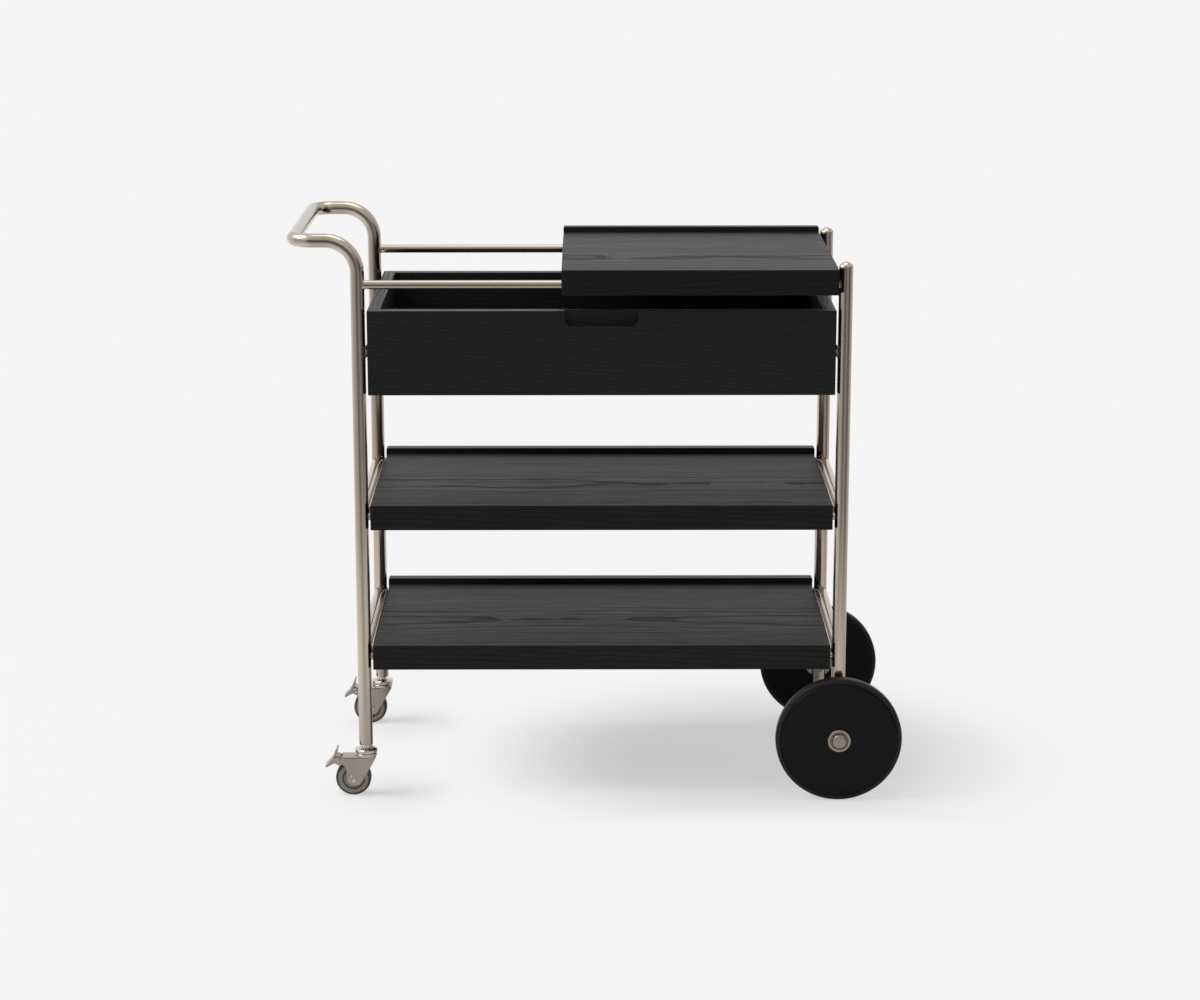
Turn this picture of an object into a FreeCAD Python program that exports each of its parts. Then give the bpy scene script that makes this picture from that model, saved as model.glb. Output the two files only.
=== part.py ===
import FreeCAD, Part
import Sketcher
import os
import re

# Bar cart: bent steel tube frame, sliding tray, drawer, two shelves, two large wheels, two casters.
# Millimetres, Z up, X along the cart with the handle at -X, front at -Y.
# The origin is on the floor, in the middle of the overall length and depth.

# Driving sizes, one sheet cell each; lengths in millimetres
SIZES = {
    # Tube frame
    "post_span_x": 762.0,
    "post_span_y": 380.0,
    "tube_diameter": 22.0,
    "tube_wall": 1.5,
    "weld_gap": 0.1,
    "cope_land": 4.0,
    "top_rail_diameter": 14.0,
    "top_rail_wall": 1.2,
    "handle_rise": 69.5,
    "handle_reach": 100.0,
    "handle_bend_radius": 50.0,
    "handle_corner_radius": 32.0,
    "post_rise": 27.5,
    "post_below_axle": 36.5,
    "cap_rim_height": 1.5,
    "cap_dome_height": 7.0,
    "plug_length": 12.0,
    "plug_clearance": 0.1,
    "foot_flange_height": 2.0,
    # Heights, each from the one below it
    "lower_shelf_height": 252.5,
    "shelf_spacing": 230.5,
    "drawer_space": 178.0,
    "rail_above_drawer": 39.5,
    # Shelves
    "board_thickness": 20.0,
    "shelf_rail_height": 40.0,
    "shelf_overhang": 1.0,
    "shelf_end_gap": 3.5,
    "panel_end_recess": 2.0,
    "lip_height": 9.0,
    "lip_corner_radius": 3.0,
    "cross_tube_drop": 17.0,
    "angle_thickness": 2.5,
    "angle_top_drop": 6.0,
    "angle_end_gap": 1.0,
    "ledge_width": 30.0,
    # Studs and screws
    "stud_diameter": 6.0,
    "stud_collar_diameter": 12.0,
    "stud_depth": 30.0,
    "stud_reach": 6.0,
    "hole_clearance": 0.1,
    "screw_diameter": 4.0,
    "screw_head_diameter": 7.0,
    "screw_head_height": 1.2,
    "screw_length": 14.0,
    "runner_screw_length": 10.0,
    "screw_end_inset": 45.0,
    # Drawer
    "drawer_height": 134.0,
    "drawer_side_gap": 3.5,
    "drawer_base_thickness": 8.0,
    "drawer_base_raise": 10.0,
    "slot_width": 114.0,
    "slot_depth": 24.0,
    "slot_corner_radius": 9.0,
    "slot_web": 7.0,
    # Drawer slides
    "channel_height": 19.0,
    "channel_depth": 10.0,
    "channel_overrun": 8.0,
    "slide_wall": 1.2,
    "slide_depth": 12.0,
    "slide_front_gap": 1.0,
    "groove_clearance": 1.0,
    "ball_space": 2.8,
    "ball_clearance": 0.3,
    "ball_pocket_clearance": 0.1,
    "runner_length": 370.0,
    "runner_start": 4.4,
    "cage_start": 3.0,
    "cage_reach": 9.0,
    "cage_sheet": 0.6,
    "cage_length": 110.0,
    "cage_offset": 5.0,
    # Tray
    "tray_length": 431.0,
    "tray_thickness": 18.0,
    "apron_thickness": 18.0,
    "apron_height": 40.0,
    "tray_side_clearance": 1.0,
    "tray_end_gap": 1.5,
    "glide_thickness": 1.5,
    "glide_gap": 0.3,
    "glide_length": 30.0,
    "glide_width": 12.0,
    "glide_inset": 30.0,
    # Large wheels
    "wheel_diameter": 203.0,
    "wheel_width": 24.0,
    "tyre_depth": 7.5,
    "tyre_shoulder_radius": 5.0,
    "tyre_recess": 2.0,
    "disc_edge_radius": 4.0,
    "bush_wall": 3.0,
    "axle_diameter": 10.0,
    "axle_head_diameter": 16.0,
    "axle_head_height": 4.0,
    "axle_end_gap": 0.5,
    "running_clearance": 0.05,
    "axial_play": 0.5,
    "flange_diameter": 46.0,
    "flange_thickness": 4.0,
    "hub_cap_diameter": 37.0,
    "hub_cap_thickness": 3.0,
    "hub_dome_diameter": 24.0,
    "hub_dome_rise": 7.0,
    "hub_dome_edge_radius": 4.0,
    # Casters
    "caster_wheel_diameter": 57.0,
    "caster_wheel_width": 20.0,
    "caster_tread_depth": 10.5,
    "caster_tread_radius": 5.0,
    "caster_trail": 21.0,
    "caster_side_gap": 1.0,
    "caster_hub_play": 0.3,
    "caster_web_recess": 1.0,
    "caster_axle_diameter": 6.0,
    "rivet_head_diameter": 13.0,
    "rivet_head_height": 2.0,
    "fork_plate": 2.0,
    "fork_headroom": 7.5,
    "fork_nose": 16.0,
    "fork_skirt": 3.5,
    "fork_shoulder_back": 38.0,
    "fork_slope_run": 4.0,
    "fork_corner_radius": 5.0,
    "fork_throat_radius": 11.0,
    "axle_boss": 10.5,
    "boss_corner_radius": 9.5,
    "cup_diameter": 35.0,
    "cup_height": 4.5,
    "race_gap": 0.6,
    "race_diameter": 36.0,
    "race_height": 7.4,
    "race_rim_height": 5.0,
    "stem_neck_diameter": 14.0,
    "stem_neck_height": 5.0,
    "stem_collar_height": 1.5,
    "stem_plug_length": 34.0,
    "kingpin_diameter": 10.0,
    "kingpin_head_diameter": 16.0,
    "kingpin_head_height": 2.5,
    "pin_lug": 6.0,
    "pin_back": 46.0,
    "pin_rise": 31.0,
    "pin_diameter": 5.0,
    "pin_head_diameter": 8.0,
    "pin_head_height": 1.5,
    "pedal_side_gap": 0.6,
    "pedal_barrel": 5.0,
    "pedal_sheet": 2.5,
    "pedal_reach": 20.0,
    "pedal_drop": 12.5,
    "pedal_heel": 8.5,
    "pedal_tab_rise": 20.0,
    "pedal_toe": 1.5,
    "brake_nose_reach": 10.6,
    "brake_nose_angle": 70.0,
}

# Places and sizes that follow from the driving ones
PLACES = {
    "tube_radius": "tube_diameter / 2",
    "tube_bore": "tube_diameter / 2 - tube_wall",
    "wheel_radius": "wheel_diameter / 2",
    "left_post_x": "-(post_span_x + wheel_radius - handle_reach - tube_radius) / 2",
    "right_post_x": "left_post_x + post_span_x",
    "post_y": "post_span_y / 2",
    "bay_middle_x": "left_post_x + post_span_x / 2",
    "bay_width": "post_span_x - tube_diameter",
    "middle_shelf_height": "lower_shelf_height + shelf_spacing",
    "drawer_floor": "middle_shelf_height + drawer_space",
    "drawer_top": "drawer_floor + drawer_height",
    "rail_axis_height": "drawer_top + rail_above_drawer",
    "handle_axis_height": "rail_axis_height + handle_rise",
    "post_top": "rail_axis_height + post_rise",
    "axle_height": "wheel_radius",
    "post_foot": "axle_height - post_below_axle",
    "plug_radius": "tube_bore - plug_clearance",
    "half_depth": "post_y + tube_radius + shelf_overhang",
    "panel_half_depth": "half_depth - board_thickness",
    "shelf_length": "bay_width - 2 * shelf_end_gap",
    "panel_length": "shelf_length - 2 * panel_end_recess",
    "panel_end_gap": "shelf_end_gap + panel_end_recess",
    "ledge_middle_x": "(panel_end_gap + ledge_width) / 2",
    "stud_drop": "shelf_rail_height / 2",
    "drawer_width": "bay_width - 2 * drawer_side_gap",
    "drawer_inside_width": "drawer_width - 2 * board_thickness",
    "slide_height": "drawer_floor + drawer_height / 2",
    "slide_front": "-panel_half_depth + slide_front_gap",
    "channel_end": "post_y + channel_overrun",
    "channel_inside": "channel_height / 2 - slide_wall",
    "runner_half": "channel_inside - ball_space",
    "ball_radius": "ball_space / 2 - ball_clearance",
    "ball_height": "runner_half + ball_space / 2",
    "ball_depth": "(runner_start + channel_depth) / 2",
    "tray_right_end": "right_post_x - tube_radius - tray_end_gap",
    "tray_middle_x": "tray_right_end - tray_length / 2",
    "tray_underside": "rail_axis_height + top_rail_diameter / 2 + glide_gap + glide_thickness",
    "tray_top": "tray_underside + tray_thickness",
    "tray_half_depth": "post_y + top_rail_diameter / 2 + tray_side_clearance",
    "wheel_start": "tube_radius + flange_thickness + axial_play",
    "wheel_end": "wheel_start + wheel_width",
    "cap_start": "wheel_end + axial_play",
    "cap_end": "cap_start + hub_cap_thickness",
    "axle_end": "cap_end + hub_dome_rise / 2 - axle_end_gap",
    "tyre_seat_radius": "wheel_radius - tyre_depth",
    "bush_radius": "axle_diameter / 2 + running_clearance + bush_wall",
    "caster_radius": "caster_wheel_diameter / 2",
    "caster_hub_radius": "caster_radius - caster_tread_depth",
    "fork_inside": "caster_wheel_width / 2 + caster_side_gap",
    "fork_outside": "fork_inside + fork_plate",
    "fork_top": "caster_wheel_diameter + fork_headroom + fork_plate",
    "race_foot": "fork_top + cup_height + race_gap",
    "race_top": "race_foot + race_height",
    "collar_foot": "race_top + stem_neck_height",
    "leg_foot": "collar_foot + stem_collar_height",
    "pin_height": "caster_radius + pin_rise",
}

CAGE_BALLS = 5
LEDGE_SCREWS = 3
RUNNER_SCREWS = 3
SHELVES = ("middle", "lower")
SIDES = {"left": 1, "right": -1}
ENDS = {"front": -1, "back": 1}

X_AXIS = FreeCAD.Vector(1, 0, 0)
Y_AXIS = FreeCAD.Vector(0, 1, 0)
Z_AXIS = FreeCAD.Vector(0, 0, 1)

# Turns that carry a solid made along +Z onto another direction
TURNS = {
    "+X": FreeCAD.Rotation(Y_AXIS, 90),
    "-X": FreeCAD.Rotation(Y_AXIS, -90),
    "+Y": FreeCAD.Rotation(X_AXIS, -90),
    "-Y": FreeCAD.Rotation(X_AXIS, 90),
    "+Z": FreeCAD.Rotation(),
    "-Z": FreeCAD.Rotation(X_AXIS, 180),
}
HALF_TURN = FreeCAD.Rotation(Z_AXIS, 180)

doc = FreeCAD.newDocument("bar_cart")
sheet = doc.addObject("Spreadsheet::Sheet", "Sizes")
for row, (alias, size) in enumerate(SIZES.items(), start=1):
    sheet.set(f"A{row}", alias)
    sheet.set(f"B{row}", str(size))
    sheet.setAlias(f"B{row}", alias)
doc.recompute()

parts = []
cuts = []


# Expressions

def expand(text):
    """Rewrite an expression in size and place names so that it reads the sheet's cells."""
    def read(match):
        word = match.group(0)
        if word in SIZES:
            return f"Sizes.{word}"
        if word in PLACES:
            return f"({expand(PLACES[word])})"
        return word
    return re.sub(r"[a-z][a-z_]*", read, text)


def value(text):
    """The present number of an expression."""
    return float(sheet.evalExpression(expand(text)))


def bind(thing, name, text):
    """Tie a property to an expression."""
    thing.setExpression(name, expand(text))


def place(thing, at, turn=None):
    """Put an object at three expressions, turned as given."""
    thing.Placement = FreeCAD.Placement(FreeCAD.Vector(), turn or FreeCAD.Rotation())
    for name, text in zip("xyz", at):
        bind(thing, f"Placement.Base.{name}", text)


# Sketches and bodies

def new_body(label):
    body = doc.addObject("PartDesign::Body", label)
    body.Label = label
    return body


def edge_between(start, end, bend):
    """A line, or the arc of a given radius that turns left (+1) or right (-1) between two points."""
    if bend is None:
        return Part.LineSegment(start, end)
    radius, hand = value(bend[0]), bend[1]
    chord = end - start
    left = FreeCAD.Vector(-chord.y, chord.x, 0).normalize()
    half = chord.Length / 2
    sagitta = radius - max(radius * radius - half * half, 0.0) ** 0.5
    return Part.Arc(start, start + chord * 0.5 - left * (hand * sagitta), end)


def draw(body, name, plane, outline):
    """A closed sketch, each corner pinned to its two expressions.

    A corner is (x, y), or (x, y, radius, hand) where an arc leads to it from the corner before.
    """
    sketch = body.newObject("Sketcher::SketchObject", name)
    support = [feature for feature in body.Origin.OriginFeatures if feature.Role == plane]
    sketch.AttachmentSupport = [(support[0], "")]
    sketch.MapMode = "FlatFace"
    corners = [FreeCAD.Vector(value(corner[0]), value(corner[1]), 0) for corner in outline]
    count = len(outline)
    bends = []
    for index in range(count):
        target = outline[(index + 1) % count]
        bends.append(target[2:] if len(target) == 4 else None)
    edges = [edge_between(corners[i], corners[(i + 1) % count], bends[i]) for i in range(count)]
    sketch.addGeometry(edges, False)
    # An arc that turns right is stored the other way round, so its ends swap
    starts = [2 if bend and bend[1] < 0 else 1 for bend in bends]
    joins = []
    for index in range(count):
        following = (index + 1) % count
        joins.append(Sketcher.Constraint("Coincident", index, 3 - starts[index],
                                         following, starts[following]))
    sketch.addConstraint(joins)
    for index in range(count):
        for kind, text, number in (("DistanceX", outline[index][0], corners[index].x),
                                   ("DistanceY", outline[index][1], corners[index].y)):
            pin = Sketcher.Constraint(kind, -1, 1, index, starts[index], number)
            bind(sketch, f"Constraints[{sketch.addConstraint(pin)}]", text)
        if bends[index]:
            size = Sketcher.Constraint("Radius", index, value(bends[index][0]))
            bind(sketch, f"Constraints[{sketch.addConstraint(size)}]", bends[index][0])
    return sketch


def pad(body, name, plane, outline, start, length):
    """Add an outline carried along the plane's own axis, from start towards the positive side."""
    sketch = draw(body, f"{name}_outline", plane, outline)
    backwards = plane == "XZ_Plane"
    bind(sketch, "AttachmentOffset.Base.z", f"-({start})" if backwards else start)
    feature = body.newObject("PartDesign::Pad", name)
    feature.Profile = sketch
    feature.Reversed = backwards
    bind(feature, "Length", length)
    return feature


def extrude(label, plane, outline, start, length, at):
    """A body of one padded outline."""
    body = new_body(label)
    pad(body, f"{label}_pad", plane, outline, start, length)
    place(body, at)
    return body


def rectangle(x_from, x_to, y_from, y_to):
    return [(x_from, y_from), (x_to, y_from), (x_to, y_to), (x_from, y_to)]


def block(label, size, at):
    """A board or pad, centred on its place in X and Y and standing on it in Z."""
    length, depth, height = size
    outline = rectangle(f"-({length}) / 2", f"({length}) / 2", f"-({depth}) / 2", f"({depth}) / 2")
    return extrude(label, "XY_Plane", outline, "0", height, at)


def turned(label, axis, outline, at, turn=None):
    """A turned body about its own X, Y or Z; the outline's corners are (along, radius)."""
    body = new_body(label)
    if axis == "X":
        plane, spin, corners = "XY_Plane", "H_Axis", list(outline)
    else:
        # Along and radius swap, which mirrors the outline, so its arcs change hands
        plane, spin = {"Y": ("XY_Plane", "V_Axis"), "Z": ("XZ_Plane", "V_Axis")}[axis]
        corners = [(c[1], c[0]) + ((c[2], -c[3]) if len(c) == 4 else ()) for c in outline]
    sketch = draw(body, f"{label}_outline", plane, corners)
    feature = body.newObject("PartDesign::Revolution", f"{label}_turn")
    feature.Profile = sketch
    feature.ReferenceAxis = (sketch, [spin])
    feature.Angle = 360
    place(body, at, turn)
    return body


def ring(label, axis, start, end, outer, inner, at, turn=None):
    """A tube, bush or washer."""
    outline = [(start, inner), (end, inner), (end, outer), (start, outer)]
    return turned(label, axis, outline, at, turn)


def rounded_rim(start, end, inner, outer, edge):
    """The section of a ring whose two outer edges are rounded."""
    return [(start, inner), (end, inner), (end, f"{outer} - {edge}"), (f"{end} - {edge}", outer, edge, 1),
            (f"{start} + {edge}", outer), (start, f"{outer} - {edge}", edge, 1)]


def bore(body, name, radius, length, at, direction):
    """Cut a round hole from a point of the body along a direction."""
    feature = body.newObject("PartDesign::SubtractiveCylinder", name)
    bind(feature, "Radius", radius)
    bind(feature, "Height", length)
    place(feature, at, TURNS[direction])
    cuts.append(feature)
    return feature


def hollow(body, name, size, at):
    """Cut a box out of a body, from its lowest corner."""
    feature = body.newObject("PartDesign::SubtractiveBox", name)
    for side, text in zip(("Length", "Width", "Height"), size):
        bind(feature, side, text)
    place(feature, at)
    cuts.append(feature)
    return feature


def round_corners(body, feature, radius, corners):
    """Round the edges of a feature that run along Y through the given (x, z) corners."""
    doc.recompute()
    names = []
    for index, edge in enumerate(feature.Shape.Edges, start=1):
        middle = edge.CenterOfMass
        along_y = edge.BoundBox.YLength > edge.BoundBox.XLength + edge.BoundBox.ZLength
        for x, z in corners:
            near = abs(middle.x - value(x)) < 0.01 and abs(middle.z - value(z)) < 0.01
            if along_y and near:
                names.append(f"Edge{index}")
    fillet = body.newObject("PartDesign::Fillet", f"{feature.Label}_round")
    fillet.Base = (feature, names)
    bind(fillet, "Radius", radius)
    return fillet


def keep(thing):
    """Count a finished object as a sub-part of the cart."""
    parts.append(thing)
    return thing


def group(label, members):
    """Several separate solids under one name."""
    bundle = doc.addObject("Part::Compound", label)
    bundle.Label = label
    bundle.Links = members
    return keep(bundle)


# Tube frame

def shelf_top(shelf):
    return f"{shelf}_shelf_height"


def post_x(side):
    return f"{side}_post_x"


def flank_x(side):
    """The face of a post that looks into the bay."""
    return f"{side}_post_x + {SIDES[side]} * tube_radius"


def end_y(end):
    return f"{ENDS[end]} * post_y"


def inward(side):
    """The direction from a side's posts into the bay."""
    return "+X" if side == "left" else "-X"


def outward(side):
    return "-X" if side == "left" else "+X"


STUD_HOLE = "stud_diameter / 2 + hole_clearance"
SCREW_HOLE = "screw_diameter / 2 + hole_clearance"


def post_holes():
    """Radius and height of each hole in a post's inner wall: the studs and the slide screw."""
    holes = {f"{shelf}_stud": (STUD_HOLE, f"{shelf_top(shelf)} - stud_drop") for shelf in SHELVES}
    holes["slide_screw"] = (SCREW_HOLE, "slide_height")
    return holes


def handle_path():
    """The bent tube's centre line: up the front leg, round the handle and down the back leg."""
    x = value("left_post_x")
    y = value("post_y")
    foot = value("leg_foot")
    top = value("handle_axis_height")
    bend = value("handle_bend_radius")
    corner = value("handle_corner_radius")
    grip = x - value("handle_reach")
    slack = 1 - 0.5 ** 0.5

    def point(px, py, pz):
        return FreeCAD.Vector(px, py, pz)

    def half(end):
        """The edges of one leg and arm, from the foot to the middle of the grip."""
        side = ENDS[end] * y
        inner = ENDS[end] * (y - corner)
        shoulder = point(x, side, top - bend)
        arm = point(x - bend, side, top)
        turn = point(grip + corner, side, top)
        bar = point(grip, inner, top)
        shoulder_mid = point(x - bend * slack, side, top - bend * slack)
        turn_mid = point(grip + corner * slack, side - ENDS[end] * corner * slack, top)
        return [Part.LineSegment(point(x, side, foot), shoulder).toShape(),
                Part.Arc(shoulder, shoulder_mid, arm).toShape(),
                Part.LineSegment(arm, turn).toShape(),
                Part.Arc(turn, turn_mid, bar).toShape()]

    bar = Part.LineSegment(point(grip, corner - y, top), point(grip, y - corner, top)).toShape()
    return half("front") + [bar] + half("back")[::-1]


def round_tube(path, outer, inner):
    """A hollow round tube along joined edges that start upwards."""
    start = path[0].Vertexes[0].Point
    wire = Part.Wire(path)
    walls = []
    for radius in (outer, inner):
        circle = Part.Wire([Part.makeCircle(radius, start, Z_AXIS)])
        walls.append(wire.makePipeShell([circle], True, False))
    return walls[0].cut(walls[1])


def make_handle_frame():
    tube = doc.addObject("Part::Feature", "handle_tube")
    tube.Shape = round_tube(handle_path(), value("tube_radius"), value("tube_bore"))
    tube.Placement = FreeCAD.Placement()
    drills = []
    for end in ENDS:
        for name, (radius, height) in post_holes().items():
            drill = doc.addObject("Part::Cylinder", f"{end}_leg_{name}_drill")
            bind(drill, "Radius", radius)
            bind(drill, "Height", "tube_diameter")
            place(drill, ("left_post_x", end_y(end), height), TURNS["+X"])
            drills.append(drill)
    drill_set = doc.addObject("Part::Compound", "leg_drills")
    drill_set.Links = drills
    frame = doc.addObject("Part::Cut", "handle_frame")
    frame.Label = "handle_frame"
    frame.Base = tube
    frame.Tool = drill_set
    keep(frame)


def make_right_posts():
    caps = []
    plugs = []
    for end in ENDS:
        label = f"{end}_right_post"
        at = ("right_post_x", end_y(end), "0")
        post = keep(ring(label, "Z", "post_foot", "post_top", "tube_radius", "tube_bore", at))
        for name, (radius, height) in post_holes().items():
            bore(post, f"{label}_{name}_hole", radius, "tube_diameter", ("0", "0", height), "-X")
        bore(post, f"{label}_axle_hole", "axle_diameter / 2 + hole_clearance", "2 * tube_diameter",
             ("0", "-tube_diameter", "axle_height"), "+Y")
        # A shallow dome of one arc, from the rim up to the axis
        dome_radius = "(tube_radius ^ 2 + cap_dome_height ^ 2) / (2 * cap_dome_height)"
        cap_outline = [("-plug_length", "0"), ("-plug_length", "plug_radius"), ("0", "plug_radius"),
                       ("0", "tube_radius"), ("cap_rim_height", "tube_radius"),
                       ("cap_rim_height + cap_dome_height", "0", dome_radius, -1)]
        caps.append(turned(f"{end}_cap", "Z", cap_outline,
                           ("right_post_x", end_y(end), "post_top")))
        plug_outline = [("-foot_flange_height", "0"), ("-foot_flange_height", "tube_radius"),
                        ("0", "tube_radius"), ("0", "plug_radius"), ("plug_length", "plug_radius"),
                        ("plug_length", "0")]
        plugs.append(turned(f"{end}_plug", "Z", plug_outline,
                            ("right_post_x", end_y(end), "post_foot")))
    group("post_top_caps", caps)
    group("post_foot_plugs", plugs)


def cope(body, name, at):
    """Hollow the end of a tube to the round of an upright post."""
    x, y = at
    bore(body, name, "tube_radius + weld_gap", "2 * tube_diameter", (x, y, "-tube_diameter"), "+Z")


def make_top_rails():
    for end in ENDS:
        label = f"{end}_top_rail"
        rail = keep(ring(label, "X", "left_post_x + tube_radius / 2", "right_post_x - tube_radius / 2",
                         "top_rail_diameter / 2", "top_rail_diameter / 2 - top_rail_wall",
                         ("0", end_y(end), "rail_axis_height")))
        for side in SIDES:
            cope(rail, f"{label}_{side}_cope", (post_x(side), "0"))


def make_cross_tubes():
    for shelf in SHELVES:
        for side in SIDES:
            label = f"{side}_{shelf}_cross_tube"
            tube = keep(ring(label, "Y", "cope_land - post_y", "post_y - cope_land",
                             "tube_radius", "tube_bore",
                             (post_x(side), "0", f"{shelf_top(shelf)} - cross_tube_drop")))
            for end in ENDS:
                cope(tube, f"{label}_{end}_cope", ("0", end_y(end)))


# Shelves

def screw_places(count):
    """Even places along the depth, from one inset end to the other."""
    step = 2 / (count - 1)
    return [f"{index * step - 1} * (panel_half_depth - screw_end_inset)" for index in range(count)]


def make_shelf_angles(shelf):
    angles = []
    ledge_height = f"{shelf_top(shelf)} - board_thickness"
    for side, sign in SIDES.items():
        wall = f"{sign} * angle_thickness"
        ledge = f"{sign} * ledge_width"
        rise = "board_thickness - angle_top_drop"
        outline = [("0", "-angle_thickness"), (ledge, "-angle_thickness"), (ledge, "0"),
                   (wall, "0"), (wall, rise), ("0", rise)]
        label = f"{side}_{shelf}_angle"
        angle = extrude(label, "XZ_Plane", outline, "angle_end_gap - panel_half_depth",
                        "2 * (panel_half_depth - angle_end_gap)", (flank_x(side), "0", ledge_height))
        for index, y in enumerate(screw_places(LEDGE_SCREWS)):
            bore(angle, f"{label}_hole_{index}", SCREW_HOLE, "2 * angle_thickness",
                 (f"{sign} * ledge_middle_x", y, "0"), "-Z")
        angles.append(angle)
    group(f"{shelf}_shelf_angles", angles)


def rounded_bar(length, height, radius):
    """An upright bar's face with its two upper corners rounded, standing on zero."""
    half = f"({length}) / 2"
    return [(f"-{half}", "0"), (half, "0"), (half, f"{height} - {radius}"),
            (f"{half} - {radius}", height, radius, 1), (f"-{half} + {radius}", height),
            (f"-{half}", f"{height} - {radius}", radius, 1)]


def make_shelf(shelf):
    top = shelf_top(shelf)
    panel_label = f"{shelf}_shelf_panel"
    panel = keep(block(panel_label, ("panel_length", "2 * panel_half_depth", "board_thickness"),
                       ("bay_middle_x", "0", f"{top} - board_thickness")))
    for side, sign in SIDES.items():
        for index, y in enumerate(screw_places(LEDGE_SCREWS)):
            x = f"{sign} * (ledge_middle_x - bay_width / 2)"
            bore(panel, f"{panel_label}_{side}_pilot_{index}", "screw_diameter / 2",
                 "screw_length - angle_thickness", (x, y, "0"), "+Z")
    fronts = {"front": "-half_depth", "back": "panel_half_depth"}
    heights = {"front": "shelf_rail_height", "back": "(shelf_rail_height + lip_height)"}
    for end in ENDS:
        label = f"{shelf}_shelf_{end}_rail"
        if end == "front":
            outline = rectangle("-shelf_length / 2", "shelf_length / 2", "0", heights[end])
        else:
            outline = rounded_bar("shelf_length", heights[end], "lip_corner_radius")
        rail = keep(extrude(label, "XZ_Plane", outline, fronts[end], "board_thickness",
                            ("bay_middle_x", "0", f"{top} - shelf_rail_height")))
        for side, sign in SIDES.items():
            at = (f"{-sign} * shelf_length / 2", end_y(end), "shelf_rail_height - stud_drop")
            bore(rail, f"{label}_{side}_stud_hole", "stud_diameter / 2", "stud_depth", at, inward(side))


def make_shelf_bolts():
    """Studs from the posts into the ends of the shelf rails, each with a collar in the gap."""
    outline = [("-stud_reach", "0"), ("shelf_end_gap + stud_depth", "0"),
               ("shelf_end_gap + stud_depth", "stud_diameter / 2"), ("shelf_end_gap", "stud_diameter / 2"),
               ("shelf_end_gap", "stud_collar_diameter / 2"), ("0", "stud_collar_diameter / 2"),
               ("0", "stud_diameter / 2"), ("-stud_reach", "stud_diameter / 2")]
    studs = []
    for shelf in SHELVES:
        for side in SIDES:
            for end in ENDS:
                studs.append(turned(f"{side}_{end}_{shelf}_stud", "Z", outline,
                                    (flank_x(side), end_y(end), f"{shelf_top(shelf)} - stud_drop"),
                                    TURNS[inward(side)]))
    group("shelf_bolts", studs)


def screw(label, length, at, direction):
    """A wafer-head screw: the head's seat at its place, the shank along the direction."""
    outline = [("-screw_head_height", "0"), (length, "0"), (length, "screw_diameter / 2"),
               ("0", "screw_diameter / 2"), ("0", "screw_head_diameter / 2"),
               ("-screw_head_height", "screw_head_diameter / 2")]
    return turned(label, "Z", outline, at, TURNS[direction])


def make_frame_screws():
    screws = []
    for side, sign in SIDES.items():
        for end in ENDS:
            screws.append(screw(f"{side}_{end}_slide_screw", "screw_length",
                                (f"{flank_x(side)} + {sign} * slide_wall", end_y(end), "slide_height"),
                                outward(side)))
        for shelf in SHELVES:
            for index, y in enumerate(screw_places(LEDGE_SCREWS)):
                at = (f"{flank_x(side)} + {sign} * ledge_middle_x", y,
                      f"{shelf_top(shelf)} - board_thickness - angle_thickness")
                screws.append(screw(f"{side}_{shelf}_ledge_screw_{index}", "screw_length", at, "+Z"))
    group("frame_screws", screws)


# Drawer and its slides

def make_slide_channels():
    """The outer member: a flat plate on the posts, with flanges behind the drawer front."""
    for side, sign in SIDES.items():
        label = f"{side}_slide_channel"
        half = "channel_height / 2"
        plate = rectangle("0", f"{sign} * slide_wall", f"-{half}", half)
        channel = new_body(label)
        pad(channel, f"{label}_plate", "XZ_Plane", plate, "-channel_end", "2 * channel_end")
        section = [("0", f"-{half}"), (f"{sign} * channel_depth", f"-{half}"),
                   (f"{sign} * channel_depth", "-channel_inside"),
                   (f"{sign} * slide_wall", "-channel_inside"), (f"{sign} * slide_wall", "channel_inside"),
                   (f"{sign} * channel_depth", "channel_inside"), (f"{sign} * channel_depth", half),
                   ("0", half)]
        pad(channel, f"{label}_flanges", "XZ_Plane", section, "slide_front", "channel_end - slide_front")
        for end in ENDS:
            bore(channel, f"{label}_{end}_hole", SCREW_HOLE, "2 * slide_wall", ("0", end_y(end), "0"),
                 inward(side))
        place(channel, (flank_x(side), "0", "slide_height"))
        keep(channel)


def runner_screw_places():
    """Even places along a runner, from one inset end to the other."""
    step = 1 / (RUNNER_SCREWS - 1)
    reach = "(runner_length - 2 * screw_end_inset)"
    return [f"slide_front + screw_end_inset + {index * step} * {reach}" for index in range(RUNNER_SCREWS)]


def make_slide_runners():
    """The inner member: a channel that opens towards the post, screwed into the drawer's groove."""
    screws = []
    for side, sign in SIDES.items():
        label = f"{side}_slide_runner"
        lip = f"{sign} * runner_start"
        web = f"{sign} * (slide_depth - slide_wall)"
        back = f"{sign} * slide_depth"
        inside = "runner_half - slide_wall"
        section = [(lip, "-runner_half"), (back, "-runner_half"), (back, "runner_half"),
                   (lip, "runner_half"), (lip, inside), (web, inside), (web, f"-({inside})"),
                   (lip, f"-({inside})")]
        runner = keep(extrude(label, "XZ_Plane", section, "slide_front", "runner_length",
                              (flank_x(side), "0", "slide_height")))
        for index, y in enumerate(runner_screw_places()):
            bore(runner, f"{label}_hole_{index}", SCREW_HOLE, "slide_depth", ("0", y, "0"), inward(side))
            screws.append(screw(f"{side}_runner_screw_{index}", "runner_screw_length",
                                (f"{flank_x(side)} + {web}", y, "slide_height"), inward(side)))
    group("runner_screws", screws)


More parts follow.
